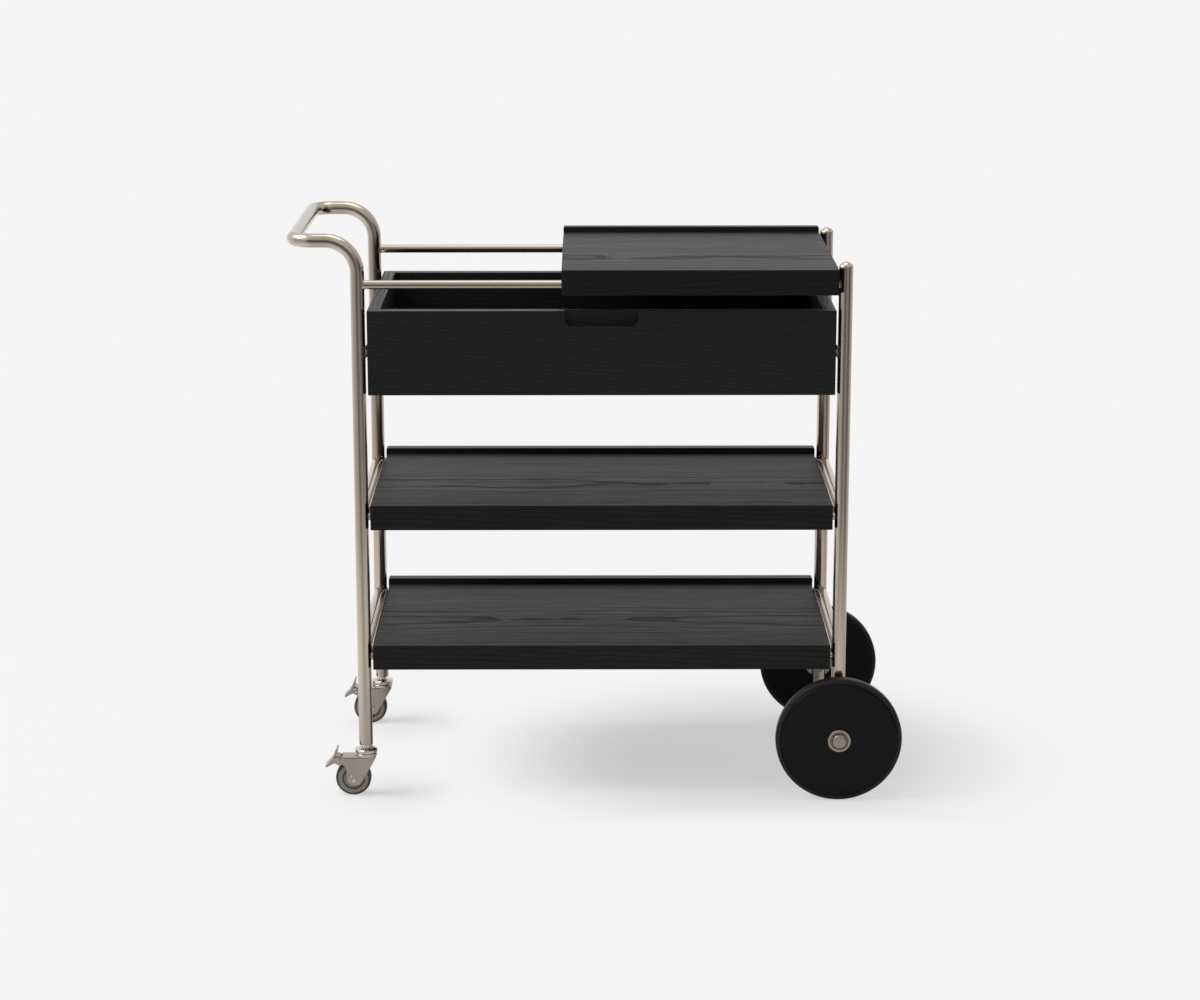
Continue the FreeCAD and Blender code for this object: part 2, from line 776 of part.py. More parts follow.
def ball_set(label, side, radius):
    """Two rows of balls in one slide, above and below the runner."""
    balls = []
    for row, level in (("upper", "ball_height"), ("lower", "-ball_height")):
        for index in range(CAGE_BALLS):
            ball = doc.addObject("Part::Sphere", f"{label}_{row}_{index}")
            bind(ball, "Radius", radius)
            along = (index + 0.5) / CAGE_BALLS - 0.5
            place(ball, (f"{flank_x(side)} + {SIDES[side]} * ball_depth",
                         f"-cage_offset + {along} * cage_length", f"slide_height + {level}"))
            balls.append(ball)
    return balls


def make_ball_cages():
    """A bent strip in each slide, with a row of loose balls in each of its two flanges."""
    members = []
    for side, sign in SIDES.items():
        near = f"{sign} * cage_start"
        web = f"{sign} * (cage_start + cage_sheet)"
        far = f"{sign} * cage_reach"
        outer = "ball_height + cage_sheet / 2"
        inner = "ball_height - cage_sheet / 2"
        section = [(near, f"-({outer})"), (far, f"-({outer})"), (far, f"-({inner})"), (web, f"-({inner})"),
                   (web, inner), (far, inner), (far, outer), (near, outer)]
        strip = extrude(f"{side}_cage_strip", "XZ_Plane", section, "-cage_offset - cage_length / 2",
                        "cage_length", (flank_x(side), "0", "slide_height"))
        pockets = doc.addObject("Part::Compound", f"{side}_ball_pockets")
        pockets.Links = ball_set(f"{side}_pocket", side, "ball_radius + ball_pocket_clearance")
        cage = doc.addObject("Part::Cut", f"{side}_cage")
        cage.Base = strip
        cage.Tool = pockets
        members += [cage] + ball_set(f"{side}_ball", side, "ball_radius")
    group("slide_ball_cages", members)


def make_drawer():
    half = "drawer_width / 2"
    slot = "slot_width / 2"
    slot_floor = "drawer_height - slot_depth"
    corner = "slot_corner_radius"
    at = ("bay_middle_x", "0", "drawer_floor")
    # The finger slot opens upwards and forwards, with its two lower corners rounded and a web behind it
    face = [(f"-{half}", "0"), (half, "0"), (half, "drawer_height"), (slot, "drawer_height"),
            (slot, f"{slot_floor} + {corner}"), (f"{slot} - {corner}", slot_floor, corner, -1),
            (f"-{slot} + {corner}", slot_floor), (f"-{slot}", f"{slot_floor} + {corner}", corner, -1),
            (f"-{slot}", "drawer_height"), (f"-{half}", "drawer_height")]
    front = new_body("drawer_front")
    pad(front, "drawer_front_face", "XZ_Plane", face, "-half_depth", "board_thickness - slot_web")
    pad(front, "drawer_front_web", "XZ_Plane", rectangle(f"-{half}", half, "0", "drawer_height"),
        "-panel_half_depth - slot_web", "slot_web")
    place(front, at)
    keep(front)
    groove = "channel_height / 2 + groove_clearance"
    for side, sign in SIDES.items():
        label = f"drawer_{side}_side"
        outer = f"{sign} * drawer_side_gap"
        floor = f"{sign} * slide_depth"
        inner = f"{sign} * (drawer_side_gap + board_thickness)"
        middle = "drawer_height / 2"
        section = [(outer, "0"), (inner, "0"), (inner, "drawer_height"), (outer, "drawer_height"),
                   (outer, f"{middle} + {groove}"), (floor, f"{middle} + {groove}"),
                   (floor, f"{middle} - ({groove})"), (outer, f"{middle} - ({groove})")]
        board = keep(extrude(label, "XZ_Plane", section, "-panel_half_depth",
                             "half_depth + panel_half_depth", (flank_x(side), "0", "drawer_floor")))
        for index, y in enumerate(runner_screw_places()):
            bore(board, f"{label}_pilot_{index}", "screw_diameter / 2", "runner_screw_length - slide_wall",
                 (floor, y, middle), inward(side))
    keep(block("drawer_back", ("drawer_inside_width", "board_thickness", "drawer_height"),
               ("bay_middle_x", "half_depth - board_thickness / 2", "drawer_floor")))
    keep(block("drawer_bottom", ("drawer_inside_width", "2 * panel_half_depth", "drawer_base_thickness"),
               ("bay_middle_x", "0", "drawer_floor + drawer_base_raise")))


# Sliding tray

def make_tray():
    keep(block("tray_panel", ("tray_length", "2 * tray_half_depth", "tray_thickness"),
               ("tray_middle_x", "0", "tray_underside")))
    at = ("tray_middle_x", "0", "tray_top - apron_height")
    front = rectangle("-tray_length / 2", "tray_length / 2", "0", "apron_height")
    keep(extrude("tray_front_apron", "XZ_Plane", front, "-tray_half_depth - apron_thickness",
                 "apron_thickness", at))
    back = rounded_bar("tray_length", "(apron_height + lip_height)", "lip_corner_radius")
    keep(extrude("tray_back_apron", "XZ_Plane", back, "tray_half_depth", "apron_thickness", at))
    glides = []
    for end in ENDS:
        for side, sign in SIDES.items():
            x = f"tray_middle_x - {sign} * (tray_length / 2 - glide_inset)"
            glides.append(block(f"{side}_{end}_glide", ("glide_length", "glide_width", "glide_thickness"),
                                (x, end_y(end), "tray_underside - glide_thickness")))
    group("tray_glides", glides)


# Large wheels, along +Y from a post's axis for the back one and turned about for the front one

def make_wheels():
    flanges = []
    caps = []
    shaft = "axle_diameter / 2"
    running = "axle_diameter / 2 + running_clearance"
    # The disc stands proud of the tyre on both sides, and both have rounded edges
    tyre = rounded_rim("wheel_start + tyre_recess", "wheel_end - tyre_recess", "tyre_seat_radius",
                       "wheel_radius", "tyre_shoulder_radius")
    disc = rounded_rim("wheel_start", "wheel_end", "bush_radius", "tyre_seat_radius", "disc_edge_radius")
    axle = [("-tube_radius - axle_head_height", "0"), ("axle_end", "0"), ("axle_end", shaft),
            ("-tube_radius", shaft), ("-tube_radius", "axle_head_diameter / 2"),
            ("-tube_radius - axle_head_height", "axle_head_diameter / 2")]
    dome_edge = "hub_dome_edge_radius"
    dome = "hub_dome_diameter / 2"
    dome_end = "cap_end + hub_dome_rise"
    hole = f"{shaft} + hole_clearance"
    cap = [("cap_start", hole), ("axle_end + axle_end_gap", hole),
           ("axle_end + axle_end_gap", "0"), (dome_end, "0"), (dome_end, f"{dome} - {dome_edge}"),
           (f"{dome_end} - {dome_edge}", dome, dome_edge, 1), ("cap_end", dome),
           ("cap_end", "hub_cap_diameter / 2"), ("cap_start", "hub_cap_diameter / 2")]
    for end in ENDS:
        at = ("right_post_x", end_y(end), "axle_height")
        turn = HALF_TURN if end == "front" else None
        keep(turned(f"{end}_wheel_axle", "Y", axle, at, turn))
        keep(turned(f"{end}_wheel_disc", "Y", disc, at, turn))
        keep(turned(f"{end}_wheel_tyre", "Y", tyre, at, turn))
        keep(ring(f"{end}_wheel_bush", "Y", "wheel_start", "wheel_end", "bush_radius", running, at, turn))
        flanges.append(ring(f"{end}_inner_flange", "Y", "tube_radius", "tube_radius + flange_thickness",
                            "flange_diameter / 2", hole, at, turn))
        caps.append(turned(f"{end}_hub_cap", "Y", cap, at, turn))
    group("wheel_inner_flanges", flanges)
    group("wheel_hub_caps", caps)


# Casters, trailing towards -X from each left leg

def make_caster_stem(end, at):
    """The plug in the leg, its collar and neck, the domed race and the kingpin in one turned piece."""
    kingpin = "kingpin_diameter / 2"
    neck = "stem_neck_diameter / 2"
    head = "kingpin_head_diameter / 2"
    head_top = "fork_top - fork_plate - race_gap"
    race = "race_diameter / 2"
    rim = "race_foot + race_rim_height"
    # The race's shoulder is one arc whose tangent is level at the neck
    rise = "(race_height - race_rim_height)"
    run = "(race_diameter / 2 - stem_neck_diameter / 2)"
    shoulder = f"({rise} ^ 2 + {run} ^ 2) / (2 * {rise})"
    outline = [(f"{head_top} - kingpin_head_height", "0"), ("leg_foot + stem_plug_length", "0"),
               ("leg_foot + stem_plug_length", "plug_radius"), ("leg_foot", "plug_radius"),
               ("leg_foot", "tube_radius"), ("collar_foot", "tube_radius"), ("collar_foot", neck),
               ("race_top", neck), (rim, race, shoulder, 1), ("race_foot", race),
               ("race_foot", kingpin), (head_top, kingpin), (head_top, head),
               (f"{head_top} - kingpin_head_height", head)]
    keep(turned(f"{end}_caster_stem", "Z", outline, at))


def make_caster_fork(end, at):
    """A stamped fork: one bent plate with two cheeks, a bearing cup, an axle boss and a pin lug."""
    label = f"{end}_caster_fork"
    lug_end = "-pin_back - pin_lug"
    lug_top = "pin_height + pin_lug"
    lug_foot = "pin_height - pin_lug"
    boss_foot = "caster_radius - axle_boss"
    boss_back = "-caster_trail - axle_boss"
    boss_front = "-caster_trail + axle_boss"
    throat = "fork_throat_radius"
    # Between the lug and the boss the back edge is a hollow quarter circle
    side = [("fork_nose", "fork_top"), ("-fork_shoulder_back", "fork_top"),
            ("-fork_shoulder_back - fork_slope_run", lug_top), (lug_end, lug_top), (lug_end, lug_foot),
            (f"{boss_back} - {throat}", lug_foot), (boss_back, f"{lug_foot} - {throat}", throat, -1),
            (boss_back, boss_foot), (boss_front, boss_foot), ("fork_nose", "fork_top - fork_skirt")]
    fork = new_body(label)
    blank = pad(fork, f"{label}_blank", "XZ_Plane", side, "-fork_outside", "2 * fork_outside")
    lug = round_corners(fork, blank, "fork_corner_radius", [(lug_end, lug_top), (lug_end, lug_foot)])
    round_corners(fork, lug, "boss_corner_radius", [(boss_back, boss_foot), (boss_front, boss_foot)])
    hollow(fork, f"{label}_space", ("pin_back + 2 * pin_lug + 2 * fork_nose", "2 * fork_inside",
                                    "fork_top - fork_plate"),
           ("-pin_back - 2 * pin_lug", "-fork_inside", "0"))
    # The plate ends ahead of the pedal, which stands up between the two lugs
    hollow(fork, f"{label}_slot", ("pin_back + 2 * pin_lug - fork_shoulder_back", "2 * fork_inside",
                                   "3 * fork_plate"),
           ("-pin_back - 2 * pin_lug", "-fork_inside", "fork_top - 2 * fork_plate"))
    cup = fork.newObject("PartDesign::AdditiveCylinder", f"{label}_cup")
    bind(cup, "Radius", "cup_diameter / 2")
    bind(cup, "Height", "cup_height")
    place(cup, ("0", "0", "fork_top"))
    running = "kingpin_diameter / 2 + running_clearance"
    bore(fork, f"{label}_kingpin_hole", running, "fork_plate + 2 * cup_height",
         ("0", "0", "fork_top - fork_plate"), "+Z")
    across = "2 * fork_outside"
    bore(fork, f"{label}_axle_hole", "caster_axle_diameter / 2 + hole_clearance", across,
         ("-caster_trail", "-fork_outside", "caster_radius"), "+Y")
    bore(fork, f"{label}_pin_hole", "pin_diameter / 2 + hole_clearance", across,
         ("-pin_back", "-fork_outside", "pin_height"), "+Y")
    place(fork, at)
    keep(fork)


def rivet(label, shank, head, head_height, at):
    """A pin across the fork with a head outside each cheek."""
    outline = [("-fork_outside - " + head_height, "0"), ("fork_outside + " + head_height, "0"),
               ("fork_outside + " + head_height, head), ("fork_outside", head), ("fork_outside", shank),
               ("-fork_outside", shank), ("-fork_outside", head), ("-fork_outside - " + head_height, head)]
    return keep(turned(label, "Y", outline, at))


def make_caster_wheel(end, at):
    half = "caster_wheel_width / 2"
    tread = rounded_rim(f"-{half}", half, "caster_hub_radius", "caster_radius", "caster_tread_radius")
    keep(turned(f"{end}_caster_tyre", "Y", tread, at))
    boss = "fork_inside - caster_hub_play"
    boss_radius = "rivet_head_diameter / 2"
    running = "caster_axle_diameter / 2 + running_clearance"
    web = f"{half} - caster_web_recess"
    hub = [(f"-({boss})", running), (boss, running), (boss, boss_radius), (web, boss_radius),
           (web, "caster_hub_radius"), (f"-({web})", "caster_hub_radius"), (f"-({web})", boss_radius),
           (f"-({boss})", boss_radius)]
    keep(turned(f"{end}_caster_hub", "Y", hub, at))


def make_brake_pedal(end, at):
    """A lever on the pin: a sloping step, a release tab upwards and a brake nose over the tread."""
    label = f"{end}_brake_pedal"
    half = "pedal_sheet / 2"
    outline = [("brake_nose_reach * cos(brake_nose_angle)", "-brake_nose_reach * sin(brake_nose_angle)"),
               ("pedal_barrel", "0"), ("pedal_barrel", "pedal_barrel"),
               (f"-{half}", "pedal_barrel + pedal_sheet"), (half, "pedal_tab_rise"),
               (f"-{half}", "pedal_tab_rise"), ("-pedal_heel", "pedal_barrel / 2"),
               ("-pedal_reach", "-pedal_drop + pedal_sheet"), ("-pedal_reach + pedal_toe", "-pedal_drop"),
               ("-pedal_barrel", "-pedal_barrel")]
    width = "(fork_inside - pedal_side_gap)"
    pedal = keep(extrude(label, "XZ_Plane", outline, f"-{width}", f"2 * {width}", at))
    bore(pedal, f"{label}_bore", "pin_diameter / 2 + running_clearance", f"2 * {width}",
         ("0", f"-{width}", "0"), "+Y")


def make_casters():
    for end in ENDS:
        stem = ("left_post_x", end_y(end), "0")
        axle = ("left_post_x - caster_trail", end_y(end), "caster_radius")
        pin = ("left_post_x - pin_back", end_y(end), "pin_height")
        make_caster_stem(end, stem)
        make_caster_fork(end, stem)
        rivet(f"{end}_caster_axle", "caster_axle_diameter / 2", "rivet_head_diameter / 2",
              "rivet_head_height", axle)
        rivet(f"{end}_pedal_pin", "pin_diameter / 2", "pin_head_diameter / 2", "pin_head_height", pin)
        make_caster_wheel(end, axle)
        make_brake_pedal(end, pin)


def check_and_write():
    """Stop on any failed object, empty shape or cut that removed nothing, then write the solids."""
    doc.recompute()
    for thing in doc.Objects:
        if "Invalid" in thing.State or "Error" in thing.State:
            raise RuntimeError(f"{thing.Label} failed: {thing.State}")
    for feature in cuts:
        if feature.Shape.Volume >= feature.BaseFeature.Shape.Volume:
            raise RuntimeError(f"{feature.Label} cuts nothing")
    for thing in parts:
        if thing.Shape.isNull() or not thing.Shape.isValid() or not thing.Shape.Solids:
            raise RuntimeError(f"{thing.Label} has no valid solid")
    os.makedirs("parts", exist_ok=True)
    for thing in parts:
        thing.Shape.exportStep(f"parts/{thing.Label}.step")
    print(f"{len(parts)} sub-parts written")


make_handle_frame()
make_right_posts()
make_top_rails()
make_cross_tubes()
for shelf_name in SHELVES:
    make_shelf_angles(shelf_name)
    make_shelf(shelf_name)
make_shelf_bolts()
make_frame_screws()
make_slide_channels()
make_slide_runners()
make_ball_cages()
make_drawer()
make_tray()
make_wheels()
make_casters()
check_and_write()
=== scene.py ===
"""The bar cart's looks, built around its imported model: Z up, front at -Y, handle at -X."""

import logging
import math
from dataclasses import dataclass
from enum import Enum
from typing import Any, Sequence

import bpy
import numpy as np
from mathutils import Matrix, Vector


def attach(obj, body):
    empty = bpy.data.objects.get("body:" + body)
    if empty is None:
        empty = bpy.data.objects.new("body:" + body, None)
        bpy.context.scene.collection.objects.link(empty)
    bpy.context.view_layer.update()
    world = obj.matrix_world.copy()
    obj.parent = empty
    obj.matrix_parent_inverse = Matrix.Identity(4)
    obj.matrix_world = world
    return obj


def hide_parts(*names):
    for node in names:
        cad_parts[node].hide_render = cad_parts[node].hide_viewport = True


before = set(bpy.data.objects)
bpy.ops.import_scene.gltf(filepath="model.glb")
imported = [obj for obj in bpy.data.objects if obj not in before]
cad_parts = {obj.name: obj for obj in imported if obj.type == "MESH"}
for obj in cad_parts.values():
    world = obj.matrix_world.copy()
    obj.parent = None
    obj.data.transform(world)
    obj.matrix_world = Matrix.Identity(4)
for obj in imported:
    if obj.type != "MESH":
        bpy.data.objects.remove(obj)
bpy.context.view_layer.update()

LOG = logging.getLogger("bar_cart")
MM = 0.001
LAY = "lay"
ROUND_SEGMENTS = 96
STUD_SEGMENTS = 48
RIVET_SEGMENTS = 64
WHEEL_SEGMENTS = 192
FLOOR_SEGMENTS = 128
CORNER_STEPS = 6
RIM_STEPS = 5
BEND_STEPS = 20
SMALLEST_RING = 0.02
TOUCHING = 1e-6
ROW_GAP = 0.05
ROW_DIGITS = 3
LINE_SQUEEZE = 0.03
SHEET_JOIN = 0.02
SHEET_BEVELS = 2
SHARP_DEG = 50.0
BOARD_EASE = 0.8
BOARD_CORNER = 1.2
LIPPED = (BOARD_CORNER, BOARD_CORNER, 3.0, 3.0)
SHELF_PITHS = (0.0, 2300.0)
SLOT_CORNERS = (3, 7)
MIX_FACTOR = 0
MIX_FIRST = 6
MIX_SECOND = 7
MIX_RESULT = 2
WHITE = (1.0, 1.0, 1.0)
SLANTING = (1.0, 1.0, 1.0)
Y_AXIS = (0.0, 1.0, 0.0)
Z_AXIS = (0.0, 0.0, 1.0)

Pair = tuple[float, float]
Point = tuple[float, float, float]
Colour = tuple[float, float, float]
Line = tuple[Pair, ...]
Sizes = tuple[float, ...]
Socket = bpy.types.NodeSocket


class Brush(Enum):
    """Which way the polishing lines of a round piece run."""

    ALONG = "along"
    AROUND = "around"


class Plane(Enum):
    """The plane an outline is drawn in: its two axes, then the axis it is carried along."""

    TOP = (0, 1, 2)
    FRONT = (0, 2, 1)


class Named(Enum):
    """A choice whose name is part of other names."""

    @property
    def word(self) -> str:
        """The member's name as other names use it."""
        return self.name.lower()


class Read(Named):
    """Where nodes read their place: a piece's own attribute, the shared frame or the world's directions."""

    OWN = LAY
    FRAME = "Object"
    SKY = "Generated"


class End(Named):
    """Front or back of the cart, with its sign along Y."""

    FRONT = -1
    BACK = 1


class Side(Named):
    """Left or right end of the bay, with the sign along X that points into the bay."""

    LEFT = 1
    RIGHT = -1


@dataclass
class Surface:
    """A shape before it is a mesh.

    Points are in millimetres, faces are arrays of corner numbers grouped by corner count, and lay is
    where each point reads the finish, in millimetres of the finish's own directions.
    """

    points: np.ndarray
    faces: list[np.ndarray]
    lay: np.ndarray

    @staticmethod
    def joined(parts: Sequence["Surface"]) -> "Surface":
        """Several surfaces as one, corner numbers moved on by the points before them.

        Args:
            parts: the surfaces in order.

        Returns:
            One surface.
        """
        starts = np.cumsum([0] + [len(part.points) for part in parts])
        faces = [group + start for part, start in zip(parts, starts) for group in part.faces]
        points = np.concatenate([part.points for part in parts])
        return Surface(points, faces, np.concatenate([part.lay for part in parts]))

    def laid(self, lay: np.ndarray) -> "Surface":
        """The same shape with another place to read its finish."""
        return Surface(self.points, self.faces, lay)

    def mesh(self, name: str) -> bpy.types.Mesh:
        """The surface as a smooth mesh in metres with its lay attribute.

        Args:
            name: the mesh's name.

        Returns:
            The new mesh.
        """
        counts = np.concatenate([np.full(len(group), group.shape[1]) for group in self.faces])
        corners = np.concatenate([group.ravel() for group in self.faces]).astype(np.int32)
        starts = np.concatenate([[0], np.cumsum(counts)[:-1]]).astype(np.int32)
        mesh = bpy.data.meshes.new(name)
        mesh.vertices.add(len(self.points))
        mesh.vertices.foreach_set("co", (self.points * MM).astype(np.float32).ravel())
        mesh.loops.add(len(corners))
        mesh.loops.foreach_set("vertex_index", corners)
        mesh.polygons.add(len(counts))
        mesh.polygons.foreach_set("loop_start", starts)
        mesh.polygons.foreach_set("use_smooth", np.ones(len(counts), bool))
        mesh.update(calc_edges=True)
        mesh.validate()
        lay = mesh.attributes.new(LAY, "FLOAT_VECTOR", "POINT")
        lay.data.foreach_set("vector", (self.lay * MM).astype(np.float32).ravel())
        return mesh


def unit(vectors: np.ndarray) -> np.ndarray:
    """Vectors scaled to length one."""
    return vectors / np.linalg.norm(vectors, axis=-1, keepdims=True)


def corner_arcs(corners: np.ndarray, before: np.ndarray, after: np.ndarray,
                radii: np.ndarray, steps: int) -> tuple[np.ndarray, np.ndarray]:
    """Each corner turned as an arc, in the plane or in space.

    With arriving direction i, leaving direction o and the angle a between them, the arc starts
    r tan(a / 2) before the corner and runs as start + r (i sin f + n (1 - cos f)), f from 0 to a,
    where n is the part of o that is square to i.

    Args:
        corners: the corner points.
        before: the point ahead of each corner.
        after: the point behind each corner.
        radii: each corner's radius.
        steps: points on each arc.

    Returns:
        The arcs' points in order, and the direction of the line at each.
    """
    arrive = unit(corners - before)
    leave = unit(after - corners)
    along = np.clip(np.sum(arrive * leave, axis=-1), -1.0, 1.0)
    angle = np.arccos(along)
    side = unit(leave - along[:, None] * arrive)
    start = corners - arrive * (radii * np.tan(angle / 2))[:, None]
    turn = angle[:, None] * np.linspace(0.0, 1.0, steps)
    sweep = np.sin(turn)[..., None]
    rest = np.cos(turn)[..., None]
    arm = radii[:, None, None]
    points = start[:, None] + arm * (arrive[:, None] * sweep + side[:, None] * (1 - rest))
    headings = arrive[:, None] * rest + side[:, None] * sweep
    size = corners.shape[1]
    return points.reshape(-1, size), headings.reshape(-1, size)


def bent_line(corners: Sequence[Sequence[float]], radii: Sequence[float],
              steps: int = CORNER_STEPS) -> tuple[np.ndarray, np.ndarray]:
    """An open line whose inner corners are arcs, and its direction at each point.

    Args:
        corners: the line's corners, first and last being its ends.
        radii: the radius of each inner corner.
        steps: points on each arc.

    Returns:
        Points and unit directions, with repeated points left out.
    """
    line = np.asarray(corners, float)
    points, headings = corner_arcs(line[1:-1], line[:-2], line[2:], np.asarray(radii, float), steps)
    points = np.vstack([line[:1], points, line[-1:]])
    headings = np.vstack([headings[:1], headings, headings[-1:]])
    gaps = np.linalg.norm(np.diff(points, axis=0), axis=1)
    fresh = np.concatenate([[True], gaps > TOUCHING])
    return points[fresh], headings[fresh]


def closed_line(corners: Sequence[Pair] | np.ndarray, radii: Sequence[float] | np.ndarray,
                steps: int = CORNER_STEPS) -> np.ndarray:
    """A closed line whose corners are arcs.

    Args:
        corners: the line's corners in order.
        radii: each corner's radius.
        steps: points on each arc.

    Returns:
        The line's points.
    """
    line = np.asarray(corners, float)
    points, _ = corner_arcs(line, np.roll(line, 1, axis=0), np.roll(line, -1, axis=0),
                            np.asarray(radii, float), steps)
    return points


def inset_ring(corners: np.ndarray, radii: np.ndarray, inset: float) -> np.ndarray:
    """A closed outline moved inwards, its corners still round.

    Every side moves along its left normal and meets its neighbours again at the mitre
    (m + n) / (1 + m.n), so a corner keeps radius r - inset where the outline turns left and
    r + inset where it turns right.

    Args:
        corners: the outline's corners, anticlockwise.
        radii: each corner's radius.
        inset: how far inwards.

    Returns:
        The ring's points.
    """
    arrive = unit(corners - np.roll(corners, 1, axis=0))
    leave = unit(np.roll(corners, -1, axis=0) - corners)
    normal_in = np.stack([-arrive[:, 1], arrive[:, 0]], axis=-1)
    normal_out = np.stack([-leave[:, 1], leave[:, 0]], axis=-1)
    shared = np.sum(normal_in * normal_out, axis=-1, keepdims=True)
    moved = corners + inset * (normal_in + normal_out) / (1 + shared)
    hand = np.sign(arrive[:, 0] * leave[:, 1] - arrive[:, 1] * leave[:, 0])
    return closed_line(moved, radii - hand * inset)


def grid_faces(rows: int, columns: int, wrap: bool = False) -> np.ndarray:
    """Quads between rings of points, each ring closed on itself.

    Args:
        rows: the number of rings.
        columns: points on each ring.
        wrap: whether the last ring meets the first.

    Returns:
        Four corner numbers for each quad.
    """
    row, column = np.meshgrid(np.arange(rows if wrap else rows - 1), np.arange(columns), indexing="ij")
    row = np.stack([row, row, row + 1, row + 1], axis=-1).reshape(-1, 4) % rows
    column = np.stack([column, column + 1, column + 1, column], axis=-1).reshape(-1, 4) % columns
    return row * columns + column


def skinned(rings: np.ndarray, lay: np.ndarray, wrap: bool = False) -> Surface:
    """Rings of points joined into one closed skin.

    The ends are closed by fans to the middle of the first and the last ring, or by joining the last
    ring to the first.

    Args:
        rings: points as rings by points by three.
        lay: the same for the finish.
        wrap: whether the last ring meets the first.

    Returns:
        The surface.
    """
    rows, columns = rings.shape[:2]
    points = rings.reshape(-1, 3)
    read = lay.reshape(-1, 3)
    faces = [grid_faces(rows, columns, wrap)]
    if not wrap:
        around = np.arange(columns)
        following = np.roll(around, -1)
        last = (rows - 1) * columns
        first_pole = np.full(columns, len(points))
        faces.append(np.stack([first_pole, following, around], axis=-1))
        faces.append(np.stack([around + last, following + last, first_pole + 1], axis=-1))
        points = np.vstack([points, rings[0].mean(axis=0), rings[-1].mean(axis=0)])
        read = np.vstack([read, lay[0].mean(axis=0), lay[-1].mean(axis=0)])
    return Surface(points, faces, read)


def even_angles(segments: int) -> np.ndarray:
    """Angles round a circle, evenly spaced."""
    return np.linspace(0.0, 2 * np.pi, segments, endpoint=False)


def quarter(radius: float) -> tuple[np.ndarray, np.ndarray]:
    """A quarter circle's distances, r (1 - cos t) from its first side and r (1 - sin t) from the other."""
    turn = np.linspace(0.0, np.pi / 2, RIM_STEPS)
    return radius * (1 - np.cos(turn)), radius * (1 - np.sin(turn))


def travelled(points: np.ndarray) -> np.ndarray:
    """Distance along a line of points, from its first."""
    steps = np.linalg.norm(np.diff(points, axis=0), axis=1)
    return np.concatenate([[0.0], np.cumsum(steps)])


def turned(profile: np.ndarray, axis: Sequence[float], centre: Sequence[float],
           brush: Brush = Brush.AROUND, wrap: bool = False, segments: int = ROUND_SEGMENTS) -> Surface:
    """A turned piece: point = centre + along axis + radius (u cos t + v sin t).

    Args:
        profile: rows of (along, radius); outside faces run towards the axis direction.
        axis: unit direction of the axis.
        centre: where along is zero.
        brush: which way the polishing lines run.
        wrap: whether the profile closes on itself, as round a bore.
        segments: points round each ring.

    Returns:
        The surface.
    """
    direction = np.asarray(axis, float)
    across = np.roll(np.abs(direction), 1)
    square = np.cross(direction, across)
    t = even_angles(segments)
    spoke = across * np.cos(t)[:, None] + square * np.sin(t)[:, None]
    along = profile[:, 0]
    radius = np.maximum(profile[:, 1], SMALLEST_RING)
    rings = (np.asarray(centre, float) + along[:, None, None] * direction
             + radius[:, None, None] * spoke)
    reach = np.broadcast_to(travelled(profile)[:, None], (len(profile), segments))
    flat = radius[:, None]
    if brush is Brush.AROUND:
        lay = np.stack([reach, LINE_SQUEEZE * flat * np.cos(t), LINE_SQUEEZE * flat * np.sin(t)], axis=-1)
    else:
        lay = np.stack([flat * np.cos(t), flat * np.sin(t), LINE_SQUEEZE * reach], axis=-1)
    return skinned(rings, lay + np.asarray(centre, float), wrap)


def bent_tube(corners: Sequence[Sequence[float]], radii: Sequence[float], radius: float,
              level: Sequence[float], rim: float) -> Surface:
    """A round tube along a bent line: point = line + r (u cos t + v sin t), u and v square to the line.

    Args:
        corners: the centre line's corners.
        radii: bend radius at each inner corner.
        radius: the tube's radius.
        level: a direction the line never takes, from which u is found.
        rim: how far the tube's two ends are eased.

    Returns:
        The surface, polished along its length.
    """
    line, heading = bent_line(corners, radii, BEND_STEPS)
    line = np.vstack([line[:1], line[:1] + rim * heading[:1], line[1:-1],
                      line[-1:] - rim * heading[-1:], line[-1:]])
    heading = np.vstack([heading[:1], heading, heading[-1:]])
    sizes = np.full(len(line), radius)
    sizes[[0, -1]] -= rim
    reference = unit(np.asarray(level, float))
    across = unit(reference - np.sum(heading * reference, axis=1)[:, None] * heading)
    square = np.cross(heading, across)
    t = even_angles(ROUND_SEGMENTS)
    spoke = across[:, None] * np.cos(t)[:, None] + square[:, None] * np.sin(t)[:, None]
    rings = line[:, None] + sizes[:, None, None] * spoke
    reach = np.broadcast_to(LINE_SQUEEZE * travelled(line)[:, None], rings.shape[:2])
    round_x = np.broadcast_to(radius * np.cos(t), rings.shape[:2])
    round_y = np.broadcast_to(radius * np.sin(t), rings.shape[:2])
    return skinned(rings, np.stack([round_x, round_y, reach], axis=-1))


